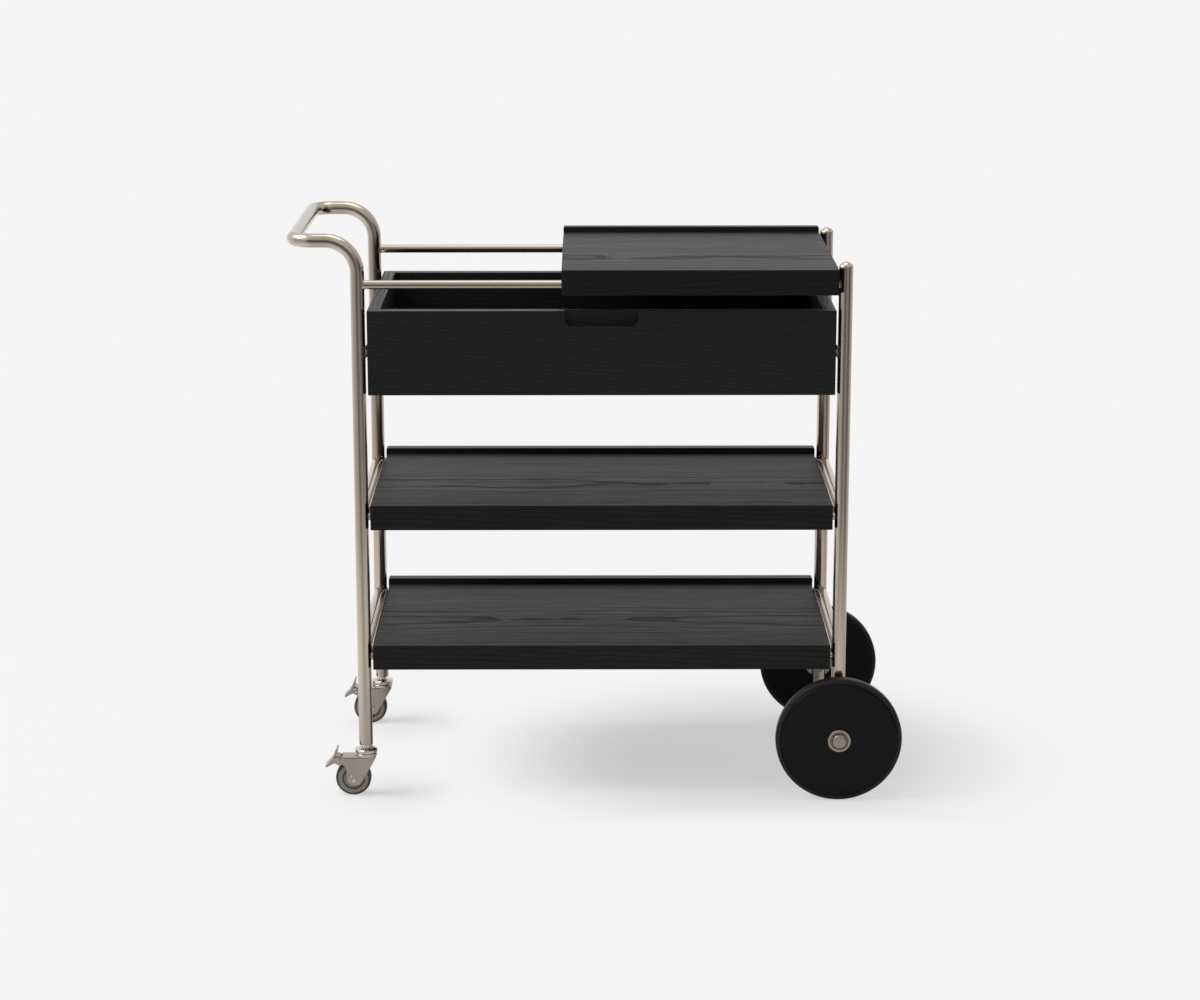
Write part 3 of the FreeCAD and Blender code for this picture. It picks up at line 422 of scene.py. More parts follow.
def coped_tube(along: int, start: Sequence[float], end: Sequence[float], radius: float,
               post: float, land: float, weld: float) -> Surface:
    """A straight tube fitted to an upright post at each end, with a small weld fillet.

    At the angle t the tube stands r cos t to the side of the post's axis, where the post's face is
    sqrt(post^2 - (r cos t)^2) from that axis; rows near the end grow by the fillet's quarter circle.

    Args:
        along: 0 for a tube along X, 1 along Y.
        start: the first post's axis at the tube's height.
        end: the second post's axis at the tube's height.
        radius: the tube's radius.
        post: the posts' radius.
        land: the least distance kept from the post's axis.
        weld: the fillet's radius.

    Returns:
        The surface, polished along its length.
    """
    t = even_angles(ROUND_SEGMENTS)
    away, fillet = quarter(weld)
    size = radius + fillet
    sideways = size[:, None] * np.cos(t)
    face = np.maximum(np.sqrt(np.maximum(post ** 2 - sideways ** 2, 0.0)), land)
    first = start[along] + face + away[:, None]
    last = end[along] - (face + away[:, None])[::-1]
    travel = np.vstack([first, last])
    sizes = np.concatenate([size, size[::-1]])[:, None]
    hand = 1.0 if along == 0 else -1.0
    rings = np.empty((len(sizes), len(t), 3))
    rings[..., along] = travel
    rings[..., 1 - along] = start[1 - along] + sizes * np.cos(t)
    rings[..., 2] = start[2] + hand * sizes * np.sin(t)
    lay = np.stack([sizes * np.cos(t), sizes * np.sin(t), LINE_SQUEEZE * travel], axis=-1)
    return skinned(rings, lay + np.asarray(start, float))


def carried(corners: Sequence[Sequence[float]], radii: Sequence[float] | float, plane: Plane,
            start: float, end: float, rim: float) -> Surface:
    """A closed outline carried straight along an axis, with both rims rounded.

    At the turn t of a rim the ring is inset by rim (1 - sin t) and lies rim (1 - cos t) from the end.

    Args:
        corners: anticlockwise outline in the plane's two axes.
        radii: radius of each corner, or one for all.
        plane: the plane of the outline.
        start: where it begins along the third axis.
        end: where it ends.
        rim: the rims' radius, less than the corners'.

    Returns:
        The surface; its lay is its own place.
    """
    outline = np.asarray(corners, float)
    rounding = np.broadcast_to(np.asarray(radii, float), (len(outline),))
    deep, inset = quarter(rim)
    insets = np.concatenate([inset, inset[::-1]])
    depths = np.concatenate([start + deep, (end - deep)[::-1]])
    return capped(np.stack([inset_ring(outline, rounding, amount) for amount in insets]), depths, plane)


def capped(drawn: np.ndarray, depths: np.ndarray, plane: Plane) -> Surface:
    """Rings drawn in a plane, each at its own depth, joined and closed by a flat face at both ends.

    Args:
        drawn: points as rings by points by two, each ring anticlockwise.
        depths: each ring's place along the plane's third axis.
        plane: the plane of the rings.

    Returns:
        The surface; its lay is its own place.
    """
    rows, columns = drawn.shape[:2]
    first, second, third = plane.value
    rings = np.empty((rows, columns, 3))
    rings[..., first] = drawn[..., 0]
    rings[..., second] = drawn[..., 1]
    rings[..., third] = depths[:, None]
    near = np.arange(columns)[::-1][None]
    far = np.arange(columns)[None] + (rows - 1) * columns
    faces = [grid_faces(rows, columns), near, far]
    if plane is Plane.FRONT:
        faces = [group[:, ::-1] for group in faces]
    points = rings.reshape(-1, 3)
    return Surface(points, faces, points.copy())


def box_outline(low: Sequence[float], high: Sequence[float]) -> list[tuple[float, float]]:
    """A rectangle's corners, anticlockwise."""
    return [(low[0], low[1]), (high[0], low[1]), (high[0], high[1]), (low[0], high[1])]


def lined(surface: Surface, axis: int) -> Surface:
    """The surface with its polishing lines along one axis."""
    return surface.laid(surface.points * np.where(np.arange(3) == axis, LINE_SQUEEZE, 1.0))


def mirrored(line: Sequence[Pair] | np.ndarray) -> np.ndarray:
    """A line run backwards, with the sign of its first measure changed."""
    return np.asarray(line, float)[::-1] * np.array([-1.0, 1.0])


def rod(start: float, stop: float, radius: float, ease: float) -> np.ndarray:
    """Profile of a solid bar with eased ends."""
    return bent_line([(start, 0.0), (start, radius), (stop, radius), (stop, 0.0)], [ease, ease])[0]


def washer(along: Pair, radii: Pair, inner_ease: float, outer_ease: float,
           steps: int = CORNER_STEPS) -> np.ndarray:
    """Closed profile of a ring with eased corners."""
    corners = [(along[0], radii[0]), (along[0], radii[1]), (along[1], radii[1]), (along[1], radii[0])]
    return closed_line(corners, [inner_ease, outer_ease, outer_ease, inner_ease], steps)


def dome_line(peak: float, rise: float, run: float, rows: int) -> np.ndarray:
    """Half the section of a shallow dome, from its foot to its peak.

    With rise h over run r the circle's radius is R = (r^2 + h^2) / 2h, and at the lean f from the axis the
    point is (peak - R (1 - cos f), R sin f).

    Args:
        peak: the peak's place along the axis.
        rise: the peak's height over the foot.
        run: the foot's distance from the axis.
        rows: points on the line.

    Returns:
        Rows of (along, radius).
    """
    radius = (run ** 2 + rise ** 2) / (2 * rise)
    lean = np.arcsin(run / radius) * np.linspace(1.0, 0.0, rows)
    return np.stack([peak - radius * (1 - np.cos(lean)), radius * np.sin(lean)], axis=-1)


def bay_section(section: Sequence[Pair], radii: Sequence[float], side: Side, origin: Pair, span: Pair,
                rim: float) -> Surface:
    """A section drawn inwards from one side of the bay, carried along Y and polished along it.

    Args:
        section: corners as (inwards, up) from the origin, anticlockwise on the left side.
        radii: each corner's radius.
        side: the side it stands on; on the right the section is mirrored and run backwards.
        origin: X and Z that the section is drawn from.
        span: where it begins and ends along Y.
        rim: the radius of its two ends.

    Returns:
        The surface.
    """
    order = slice(None, None, side.value)
    corners = np.asarray(section, float) * (side.value, 1.0) + np.asarray(origin, float)
    return lined(carried(corners[order], np.asarray(radii, float)[order], Plane.FRONT, *span, rim), 1)


class NodeWriter:
    """Writes the nodes of one material, or of the world."""

    def __init__(self, owner: bpy.types.Material | bpy.types.World, read: Read) -> None:
        """Empty the owner's nodes, and find the place that their pattern reads.

        Args:
            owner: the material or the world.
            read: where the pattern is read.
        """
        owner.use_nodes = True
        self.tree = owner.node_tree
        self.tree.nodes.clear()
        if read is Read.OWN:
            self.place = self.add("ShaderNodeAttribute", {"attribute_name": read.value}).outputs["Vector"]
        else:
            self.place = self.add("ShaderNodeTexCoord").outputs[read.value]

    def add(self, kind: str, settings: dict[str, Any] | None = None,
            values: dict[str, Any] | dict[int, Any] | None = None) -> bpy.types.Node:
        """Add a node.

        Args:
            kind: Blender's name of the node.
            settings: properties to set.
            values: inputs to set by name or number: a number, a vector, a colour or another node's output.

        Returns:
            The node.
        """
        node = self.tree.nodes.new(kind)
        for key, setting in (settings or {}).items():
            setattr(node, key, setting)
        for key, given in (values or {}).items():
            socket = node.inputs[key]
            if isinstance(given, Socket):
                self.tree.links.new(given, socket)
            elif socket.type == "RGBA":
                socket.default_value = (*given, 1.0)
            else:
                socket.default_value = given
        return node

    def shader(self, kind: str, values: dict[str, Any] | None = None) -> Socket:
        """A shader with the given inputs."""
        return self.add(kind, None, values).outputs[0]

    def stretched(self, scale: Point) -> Socket:
        """The place read by the pattern, scaled along its three directions."""
        return self.add("ShaderNodeMapping", None, {"Vector": self.place, "Scale": scale}).outputs["Vector"]

    def split(self, place: Socket) -> bpy.types.bpy_prop_collection:
        """A place's three measures, by their letters."""
        return self.add("ShaderNodeSeparateXYZ", None, {"Vector": place}).outputs

    def distance(self, centre: Point) -> Socket:
        """How far the place read is from a centre."""
        return self.add("ShaderNodeVectorMath", {"operation": "DISTANCE"},
                        {0: self.place, 1: centre}).outputs["Value"]

    def noise(self, place: Socket, scale: float = 1.0, detail: float = 2.0, roughness: float = 0.5) -> Socket:
        """Grey noise at a place."""
        return self.add("ShaderNodeTexNoise", None, {
            "Vector": place, "Scale": scale, "Detail": detail, "Roughness": roughness}).outputs["Fac"]

    def ranged(self, value: Socket, low: float, high: float,
               to_low: float = 0.0, to_high: float = 1.0) -> Socket:
        """A value carried from one range to another, smoothly and held at the ends."""
        return self.add("ShaderNodeMapRange", {"interpolation_type": "SMOOTHSTEP"}, {
            "Value": value, "From Min": low, "From Max": high,
            "To Min": to_low, "To Max": to_high}).outputs["Result"]

    def maths(self, operation: str, *given: Socket | float) -> Socket:
        """A sum on one, two or three values."""
        return self.add("ShaderNodeMath", {"operation": operation}, dict(enumerate(given))).outputs[0]

    def mixed(self, factor: Socket, first: Socket | Colour, second: Socket | Colour) -> Socket:
        """Two colours mixed by a factor, on the colour inputs of a mix node."""
        return self.add("ShaderNodeMix", {"data_type": "RGBA"}, {
            MIX_FACTOR: factor, MIX_FIRST: first, MIX_SECOND: second}).outputs[MIX_RESULT]

    def blended(self, factor: Socket, first: Socket, second: Socket) -> Socket:
        """Two shaders mixed by a factor."""
        return self.add("ShaderNodeMixShader", None, {0: factor, 1: first, 2: second}).outputs[0]

    def bump(self, height: Socket, strength: float, distance: float) -> Socket:
        """A normal bent by a height."""
        return self.add("ShaderNodeBump", None, {
            "Height": height, "Strength": strength, "Distance": distance}).outputs["Normal"]

    def close(self, surface: Socket, kind: str = "ShaderNodeOutputMaterial") -> None:
        """End the nodes in their output."""
        self.add(kind, None, {"Surface": surface})

    def finish(self, values: dict[str, Any]) -> None:
        """End a material in one surface shader with the given inputs."""
        self.close(self.shader("ShaderNodeBsdfPrincipled", values))


@dataclass(frozen=True)
class Finish:
    """A finish: its own label, and the record's slot it stands for."""

    label: str
    slot: str

    def material(self, read: Read = Read.OWN) -> bpy.types.Material:
        """The finish's material, made once for each way of reading its pattern.

        Args:
            read: where the pattern is read.

        Returns:
            The material.
        """
        name = f"{self.label}_{read.word}"
        found = bpy.data.materials.get(name)
        if found is None:
            found = bpy.data.materials.new(name)
            self.write(NodeWriter(found, read))
        return found

    def write(self, nodes: NodeWriter) -> None:
        """Write the nodes; each finish has its own."""
        raise NotImplementedError


@dataclass(frozen=True)
class StainedAsh(Finish):
    """Black-stained ash: growth rings round a far pith, fibres and open pores along the grain.

    The five stretches say how often noise repeats along, across and through the grain, per metre.
    """

    dark: Colour = (0.0014, 0.0014, 0.0015)
    pale: Colour = (0.0165, 0.0165, 0.0167)
    pore: Colour = (0.0012, 0.0012, 0.0012)
    ring_scale: float = 46.0
    wander: float = 0.02
    gloss_low: float = 0.37
    gloss_high: float = 0.62
    sheen: float = 0.18
    streak: float = 0.6
    late: float = 0.5
    late_from: float = 0.78
    late_to: float = 0.97
    broad: float = 0.3
    fibre_gain: float = 1.1
    fibre_shift: float = -0.1
    slow_stretch: Point = (1.7, 4.0, 4.0)
    fibre_stretch: Point = (13.0, 480.0, 480.0)
    broad_stretch: Point = (1.6, 38.0, 38.0)
    streak_stretch: Point = (3.5, 260.0, 260.0)
    pore_stretch: Point = (26.0, 1000.0, 1000.0)
    heart: Pair = (0.02, 0.11)
    peaks: Pair = (0.55, 0.68)
    tone_span: Pair = (0.0, 0.95)
    pore_rings: Sizes = (0.2, 0.9, 0.25, 0.95)
    relief: float = 0.8
    relief_strength: float = 0.4
    relief_depth: float = 0.0004

    def write(self, nodes: NodeWriter) -> None:
        """Rings from a wave about the grain's axis, shifted by slow noise; fibres and pores from long noise.

        Dark streaks show only where the board lies flat over the heart, which is small across.

        Args:
            nodes: the material's nodes.
        """
        slow = nodes.add("ShaderNodeTexNoise", None, {
            "Vector": nodes.stretched(self.slow_stretch), "Scale": 1.0, "Detail": 4.0}).outputs["Color"]
        drift = nodes.add("ShaderNodeVectorMath", {"operation": "MULTIPLY_ADD"}, {
            0: slow, 1: (self.wander,) * 3, 2: nodes.place}).outputs[0]
        rings = nodes.add("ShaderNodeTexWave", {
            "wave_type": "RINGS", "rings_direction": "X", "wave_profile": "SAW"}, {
            "Vector": drift, "Scale": self.ring_scale, "Distortion": 1.1, "Detail": 2.0,
            "Detail Scale": 0.35}).outputs["Fac"]
        fibre = nodes.noise(nodes.stretched(self.fibre_stretch), detail=4.0, roughness=0.62)
        broad = nodes.noise(nodes.stretched(self.broad_stretch))
        heart = nodes.ranged(nodes.maths("ABSOLUTE", nodes.split(drift)["Y"]), *self.heart, 1.0, 0.0)
        streaks = nodes.noise(nodes.stretched(self.streak_stretch), detail=3.0, roughness=0.55)
        streaks = nodes.maths("MULTIPLY", nodes.ranged(streaks, *self.peaks), heart)
        pores = nodes.ranged(nodes.noise(nodes.stretched(self.pore_stretch)), *self.peaks)
        late = nodes.ranged(rings, self.late_from, self.late_to)
        tone = nodes.maths("MULTIPLY_ADD", fibre, self.fibre_gain, self.fibre_shift)
        for operation, part, share in (("SUBTRACT", late, self.late), ("ADD", broad, self.broad),
                                       ("SUBTRACT", streaks, self.streak)):
            tone = nodes.maths(operation, tone, nodes.maths("MULTIPLY", part, share))
        ground = nodes.mixed(nodes.ranged(tone, *self.tone_span), self.dark, self.pale)
        open_pores = nodes.maths("MULTIPLY", pores, nodes.ranged(rings, *self.pore_rings))
        relief = nodes.maths("SUBTRACT", nodes.maths("MULTIPLY", tone, self.relief), open_pores)
        nodes.finish({
            "Base Color": nodes.mixed(open_pores, ground, self.pore),
            "Roughness": nodes.ranged(tone, 0.0, 1.0, self.gloss_high, self.gloss_low),
            "Specular IOR Level": self.sheen,
            "Normal": nodes.bump(relief, self.relief_strength, self.relief_depth)})


@dataclass(frozen=True)
class PlatedMetal(Finish):
    """Plated steel with fine polishing lines that follow the piece."""

    colour: Colour = (0.51, 0.44, 0.37)
    shade: Colour = (0.45, 0.388, 0.325)
    gloss: float = 0.15
    spread: float = 0.05
    line_scale: float = 900.0
    line_strength: float = 0.05
    line_depth: float = 0.0002
    line_span: Pair = (0.2, 0.8)
    cloud_scale: float = 18.0
    cloud_span: Pair = (0.25, 0.75)

    def write(self, nodes: NodeWriter) -> None:
        """Lines are noise at the piece's lay, which is squeezed along them; cloud varies the plating.

        Args:
            nodes: the material's nodes.
        """
        lines = nodes.noise(nodes.place, self.line_scale, detail=3.0, roughness=0.6)
        cloud = nodes.noise(nodes.place, self.cloud_scale)
        nodes.finish({
            "Base Color": nodes.mixed(nodes.ranged(cloud, *self.cloud_span), self.colour, self.shade),
            "Metallic": 1.0,
            "Roughness": nodes.ranged(lines, *self.line_span, self.gloss - self.spread,
                                      self.gloss + self.spread),
            "Normal": nodes.bump(lines, self.line_strength, self.line_depth)})


@dataclass(frozen=True)
class Moulded(Finish):
    """Rubber, plastic, lacquer or sintered metal: a mottled ground with a fine skin."""

    colour: Colour = (0.02, 0.02, 0.02)
    shade: Colour = (0.015, 0.015, 0.015)
    metal: float = 0.0
    gloss: Pair = (0.45, 0.6)
    sheen: float = 0.4
    mottle_scale: float = 60.0
    mottle_span: Pair = (0.3, 0.7)
    gloss_span: Pair = (0.25, 0.75)
    skin_scale: float = 1500.0
    skin_strength: float = 0.12
    skin_depth: float = 0.0002

    def write(self, nodes: NodeWriter) -> None:
        """Mottle tints the ground and its gloss; the skin is a small bump.

        Args:
            nodes: the material's nodes.
        """
        mottle = nodes.noise(nodes.place, self.mottle_scale, detail=4.0, roughness=0.6)
        skin = nodes.noise(nodes.place, self.skin_scale)
        nodes.finish({
            "Base Color": nodes.mixed(nodes.ranged(mottle, *self.mottle_span), self.colour, self.shade),
            "Metallic": self.metal,
            "Roughness": nodes.ranged(mottle, *self.gloss_span, *self.gloss),
            "Specular IOR Level": self.sheen,
            "Normal": nodes.bump(skin, self.skin_strength, self.skin_depth)})


ASH = StainedAsh("stained_ash", "black_ash")
EDGE_ASH = StainedAsh("burnished_ash", "black_ash", ring_scale=60.0, gloss_low=0.34, gloss_high=0.5,
                      sheen=0.3, late=0.6, late_from=0.5)
SATIN = PlatedMetal("satin_tube", "satin_nickel")
POLISHED = PlatedMetal("polished_plate", "polished_nickel", (0.44, 0.387, 0.333), (0.37, 0.324, 0.277),
                       gloss=0.2, line_scale=700.0, line_strength=0.03)
# painted shade: a darker copy of the polished nickel for the hub caps, darkened to offset the paler floor
# that their gloss meets
SHADED_CAP = PlatedMetal("brushed_shaded_cap", "polished_nickel", (0.335, 0.291, 0.239), (0.279, 0.241, 0.198),
                  gloss=0.36, spread=0.06, line_scale=700.0)
# painted light: a lighter copy of the polished nickel for the caster stems and cups, painted brighter than
# the fork's plating
LIT_NICKEL = PlatedMetal("lit_race", "polished_nickel", (0.62, 0.57, 0.52), (0.54, 0.49, 0.44),
                     gloss=0.12, spread=0.04, line_scale=700.0, line_strength=0.02)
# painted light: a lighter copy of the polished nickel for the rivets, painted between the fork's tone and the
# race's
RIVET = PlatedMetal("lit_rivet_head", "polished_nickel", (0.54, 0.48, 0.42), (0.46, 0.41, 0.355),
                    gloss=0.27, spread=0.04, line_scale=700.0, line_strength=0.02)
SLIDE_STEEL = PlatedMetal("slide_zinc", "slide_steel", (0.42, 0.42, 0.42), (0.36, 0.36, 0.36),
                          gloss=0.34, spread=0.08, line_scale=800.0)
WHEEL_BLACK = Moulded("wheel_lacquer", "wheel_black", (0.0062, 0.0062, 0.0064), (0.0046, 0.0046, 0.0048),
                      gloss=(0.34, 0.41), sheen=0.125, mottle_scale=40.0, skin_scale=900.0,
                      skin_strength=0.06)
BLACK_RUBBER = Moulded("tyre_rubber", "black_rubber", (0.019, 0.0152, 0.012), (0.0135, 0.0108, 0.0085),
                       gloss=(0.42, 0.52), sheen=0.24, mottle_scale=70.0, skin_scale=1400.0)
TREAD_RUBBER = Moulded("caster_tread", "grey_rubber", (0.084, 0.075, 0.064), (0.064, 0.057, 0.049),
                       gloss=(0.5, 0.65), sheen=0.35, mottle_scale=90.0, skin_scale=1600.0,
                       skin_strength=0.15)
GREY_RUBBER = Moulded("caster_rubber", "grey_rubber", (0.31, 0.285, 0.255), (0.27, 0.248, 0.222),
                      gloss=(0.5, 0.65), mottle_scale=90.0, skin_scale=1600.0)
GREY_PLASTIC = Moulded("caster_nylon", "grey_plastic", (0.25, 0.23, 0.205), (0.215, 0.198, 0.176),
                       gloss=(0.4, 0.52), sheen=0.45, mottle_scale=80.0, skin_strength=0.08)
BLACK_NYLON = Moulded("black_pad", "black_nylon", (0.02, 0.02, 0.021), (0.014, 0.014, 0.015))
BRONZE = Moulded("sintered_bush", "bronze", (0.42, 0.29, 0.15), (0.33, 0.22, 0.11), metal=1.0,
                 gloss=(0.35, 0.5), sheen=0.5, mottle_scale=300.0, skin_scale=1800.0, skin_strength=0.1)


def placed(name: str, data: bpy.types.ID) -> bpy.types.Object:
    """Put a new object into the scene.

    Args:
        name: the object's name.
        data: its mesh, camera or light.

    Returns:
        The object.
    """
    thing = bpy.data.objects.new(name, data)
    bpy.context.scene.collection.objects.link(thing)
    return thing


def add_piece(name: str, surface: Surface, finish: Finish, body: str, *nodes: str,
              sheet: float = 0.0, ease: float = 0.0) -> None:
    """Put a finished surface into the scene in place of its CAD nodes.

    Args:
        name: the piece's name.
        surface: its shape.
        finish: its finish.
        body: the CAD body it rides.
        nodes: the CAD nodes it stands for.
        sheet: thickness to give an open sheet, inwards, in millimetres.
        ease: width of the bevel on a sheet's edges, in millimetres.
    """
    mesh = surface.mesh(name)
    piece = placed(name, mesh)
    mesh.materials.append(finish.material())
    if sheet > 0.0:
        weld = piece.modifiers.new("joined_patches", "WELD")
        weld.merge_threshold = SHEET_JOIN * MM
        wall = piece.modifiers.new("wall", "SOLIDIFY")
        wall.thickness = sheet * MM
        wall.offset = -1.0
        edges = piece.modifiers.new("eased_edges", "BEVEL")
        edges.width = ease * MM
        edges.segments = SHEET_BEVELS
        edges.limit_method = "ANGLE"
        edges.angle_limit = math.radians(SHARP_DEG)
    normals = piece.modifiers.new("even_normals", "WEIGHTED_NORMAL")
    normals.keep_sharp = True
    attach(piece, body)
    if nodes:
        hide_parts(*nodes)
    LOG.info("%s: %d points on %s", name, len(surface.points), body)


def dress_node(name: str, finish: Finish) -> None:
    """Give a CAD node that stays in sight a finish read in the shared frame.

    Args:
        name: the node's name.
        finish: its finish.
    """
    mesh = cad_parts[name].data
    mesh.materials.clear()
    mesh.materials.append(finish.material(Read.FRAME))
    LOG.info("%s: kept, %s", name, finish.slot)


@dataclass(frozen=True)
class Bay:
    """The space between the posts, which the sub-assemblies share, in millimetres."""

    left_post: float = -376.25
    right_post: float = 385.75
    post_y: float = 190.0
    tube: float = 11.0
    gap: float = 3.5
    half_depth: float = 202.0
    slide_height: float = 728.0
    shelf_tops: tuple[tuple[str, float], ...] = (("middle", 483.0), ("lower", 252.5))

    def post(self, side: Side) -> float:
        """X of the posts' axes at one side."""
        return self.left_post if side is Side.LEFT else self.right_post

    def flank(self, side: Side) -> float:
        """X of the posts' inner faces at one side."""
        return self.post(side) + side.value * self.tube

    def edge(self, side: Side) -> float:
        """X of the boards' ends at one side."""
        return self.flank(side) + side.value * self.gap


BAY = Bay()


@dataclass
class TubeFrame:
    """The bent handle tube, right posts with caps and foot plugs, top rails, cross tubes and studs."""

    bay: Bay = BAY
    rail: float = 7.0
    rail_height: float = 834.5
    rail_weld: float = 1.4
    leg_foot: float = 85.5
    leg_rim: float = 0.5
    handle_height: float = 904.0
    handle_reach: float = 100.0
    handle_bend: float = 50.0
    handle_corner: float = 32.0
    post_foot: float = 65.0
    post_top: float = 862.0
    post_ease: float = 0.4
    cap_joint: float = 0.15
    cap_rim: float = 1.5
    cap_ease: float = 0.3
    cap_dome: float = 7.0
    cap_rows: int = 16
    plug_below: Pair = (2.0, 0.1)
    plug_ease: float = 0.8
    cross_drop: float = 17.0
    cross_land: float = 4.0
    cross_weld: float = 0.2
    stud_drop: float = 20.0
    stud_seat: float = -0.3
    stud_collar: float = 6.0
    stud_shank: float = 3.0
    stud_reach: float = 4.0
    stud_radii: Sizes = (0.3, 0.6, 0.2, 0.3)
    body: str = "frame"

    def build(self) -> None:
        """Make every piece of the frame."""
        self.handle()
        self.posts()
        self.rails()
        self.cross_tubes()
        self.studs()

    def handle(self) -> None:
        """Both left legs and the handle, one tube bent along five straight runs."""
        x = self.bay.left_post
        y = self.bay.post_y
        top = self.handle_height
        grip = x - self.handle_reach
        corners = [(x, -y, self.leg_foot), (x, -y, top), (grip, -y, top), (grip, y, top), (x, y, top),
                   (x, y, self.leg_foot)]
        bends = [self.handle_bend, self.handle_corner, self.handle_corner, self.handle_bend]
        tube = bent_tube(corners, bends, self.bay.tube, SLANTING, self.leg_rim)
        add_piece("handle_tube", tube, SATIN, self.body, "handle_frame")

    def posts(self) -> None:
        """Right posts, their domed caps and their foot plugs."""
        radius = self.bay.tube
        top = self.post_top
        post = rod(self.post_foot, top - self.cap_joint, radius, self.post_ease)
        rim, _ = bent_line([(top, 0.0), (top, radius), (top + self.cap_rim, radius)], [self.cap_ease])
        dome = dome_line(top + self.cap_rim + self.cap_dome, self.cap_dome, radius, self.cap_rows)
        cap = np.vstack([rim, dome[1:]])
        low, high = self.plug_below
        plug = rod(self.post_foot - low, self.post_foot - high, radius, self.plug_ease)
        centres = {end: (self.bay.right_post, end.value * self.bay.post_y, 0.0) for end in End}
        for end, centre in centres.items():
            add_piece(f"{end.word}_right_tube", turned(post, Z_AXIS, centre, Brush.ALONG), SATIN,
                      self.body, f"{end.word}_right_post")
        for name, profile, finish, node in (("post_caps", cap, SATIN, "post_top_caps"),
                                            ("post_plugs", plug, BLACK_NYLON, "post_foot_plugs")):
            pair = Surface.joined([turned(profile, Z_AXIS, centre) for centre in centres.values()])
            add_piece(name, pair, finish, self.body, node)

    def rails(self) -> None:
        """Two thin rails that the tray slides on."""
        for end in End:
            start, stop = ((x, end.value * self.bay.post_y, self.rail_height)
                           for x in (self.bay.left_post, self.bay.right_post))
            tube = coped_tube(0, start, stop, self.rail, self.bay.tube, 0.0, self.rail_weld)
            add_piece(f"{end.word}_rail_tube", tube, SATIN, self.body, f"{end.word}_top_rail")

    def cross_tubes(self) -> None:
        """A tube from front to back under each end of each shelf."""
        for shelf, top in self.bay.shelf_tops:
            for side in Side:
                start, stop = ((self.bay.post(side), end.value * self.bay.post_y, top - self.cross_drop)
                               for end in End)
                tube = coped_tube(1, start, stop, self.bay.tube, self.bay.tube, self.cross_land,
                                  self.cross_weld)
                add_piece(f"{side.word}_{shelf}_cross", tube, SATIN, self.body,
                          f"{side.word}_{shelf}_cross_tube")

    def studs(self) -> None:
        """Collars that show between the posts and the ends of the shelf rails."""
        gap = self.bay.gap
        reach = gap + self.stud_reach
        profile, _ = bent_line([(self.stud_seat, 0.0), (self.stud_seat, self.stud_collar),
                                (gap, self.stud_collar), (gap, self.stud_shank), (reach, self.stud_shank),
                                (reach, 0.0)], self.stud_radii)
        collars = [turned(profile, (side.value, 0.0, 0.0),
                          (self.bay.flank(side), end.value * self.bay.post_y, top - self.stud_drop),
                          segments=STUD_SEGMENTS)
                   for _, top in self.bay.shelf_tops for side in Side for end in End]
        add_piece("stud_collars", Surface.joined(collars), POLISHED, self.body, "shelf_bolts")


@dataclass(frozen=True)
class Grain:
    """How a board is cut from the log: the grain's axis, the board's place from the pith, and the slope."""

    along: int
    pith: Point
    slope: float = 0.0

    def read(self, surface: Surface, origin: Point) -> Surface:
        """The surface with lay = (along, across, deep) from the pith, deep growing by the slope along it.

        Args:
            surface: the board's shape.
            origin: the place, as (along, across, deep), that the pith is measured from.

        Returns:
            The board with its grain.
        """
        order = [self.along] + [axis for axis in range(3) if axis != self.along]
        lay = surface.points[:, order] + (np.asarray(self.pith) - np.asarray(origin))
        lay[:, 2] += self.slope * surface.points[:, self.along]
        return surface.laid(lay)


def board(low: Point, high: Point, plane: Plane, grain: Grain, origin: Point,
          ease: float = BOARD_EASE, corners: Sequence[float] | float = BOARD_CORNER) -> Surface:
    """A plain board with eased edges and its grain.

    Args:
        low: the corner with the least X, Y and Z.
        high: the corner with the greatest.
        plane: the plane of the outline that is carried.
        grain: how the board is cut.
        origin: the place that the pith is measured from.
        ease: the radius of the two rims.
        corners: the outline's corner radii, or one for all.

    Returns:
        The board.
    """
    first, second, third = plane.value
    outline = box_outline((low[first], low[second]), (high[first], high[second]))
    return grain.read(carried(outline, corners, plane, low[third], high[third], ease), origin)


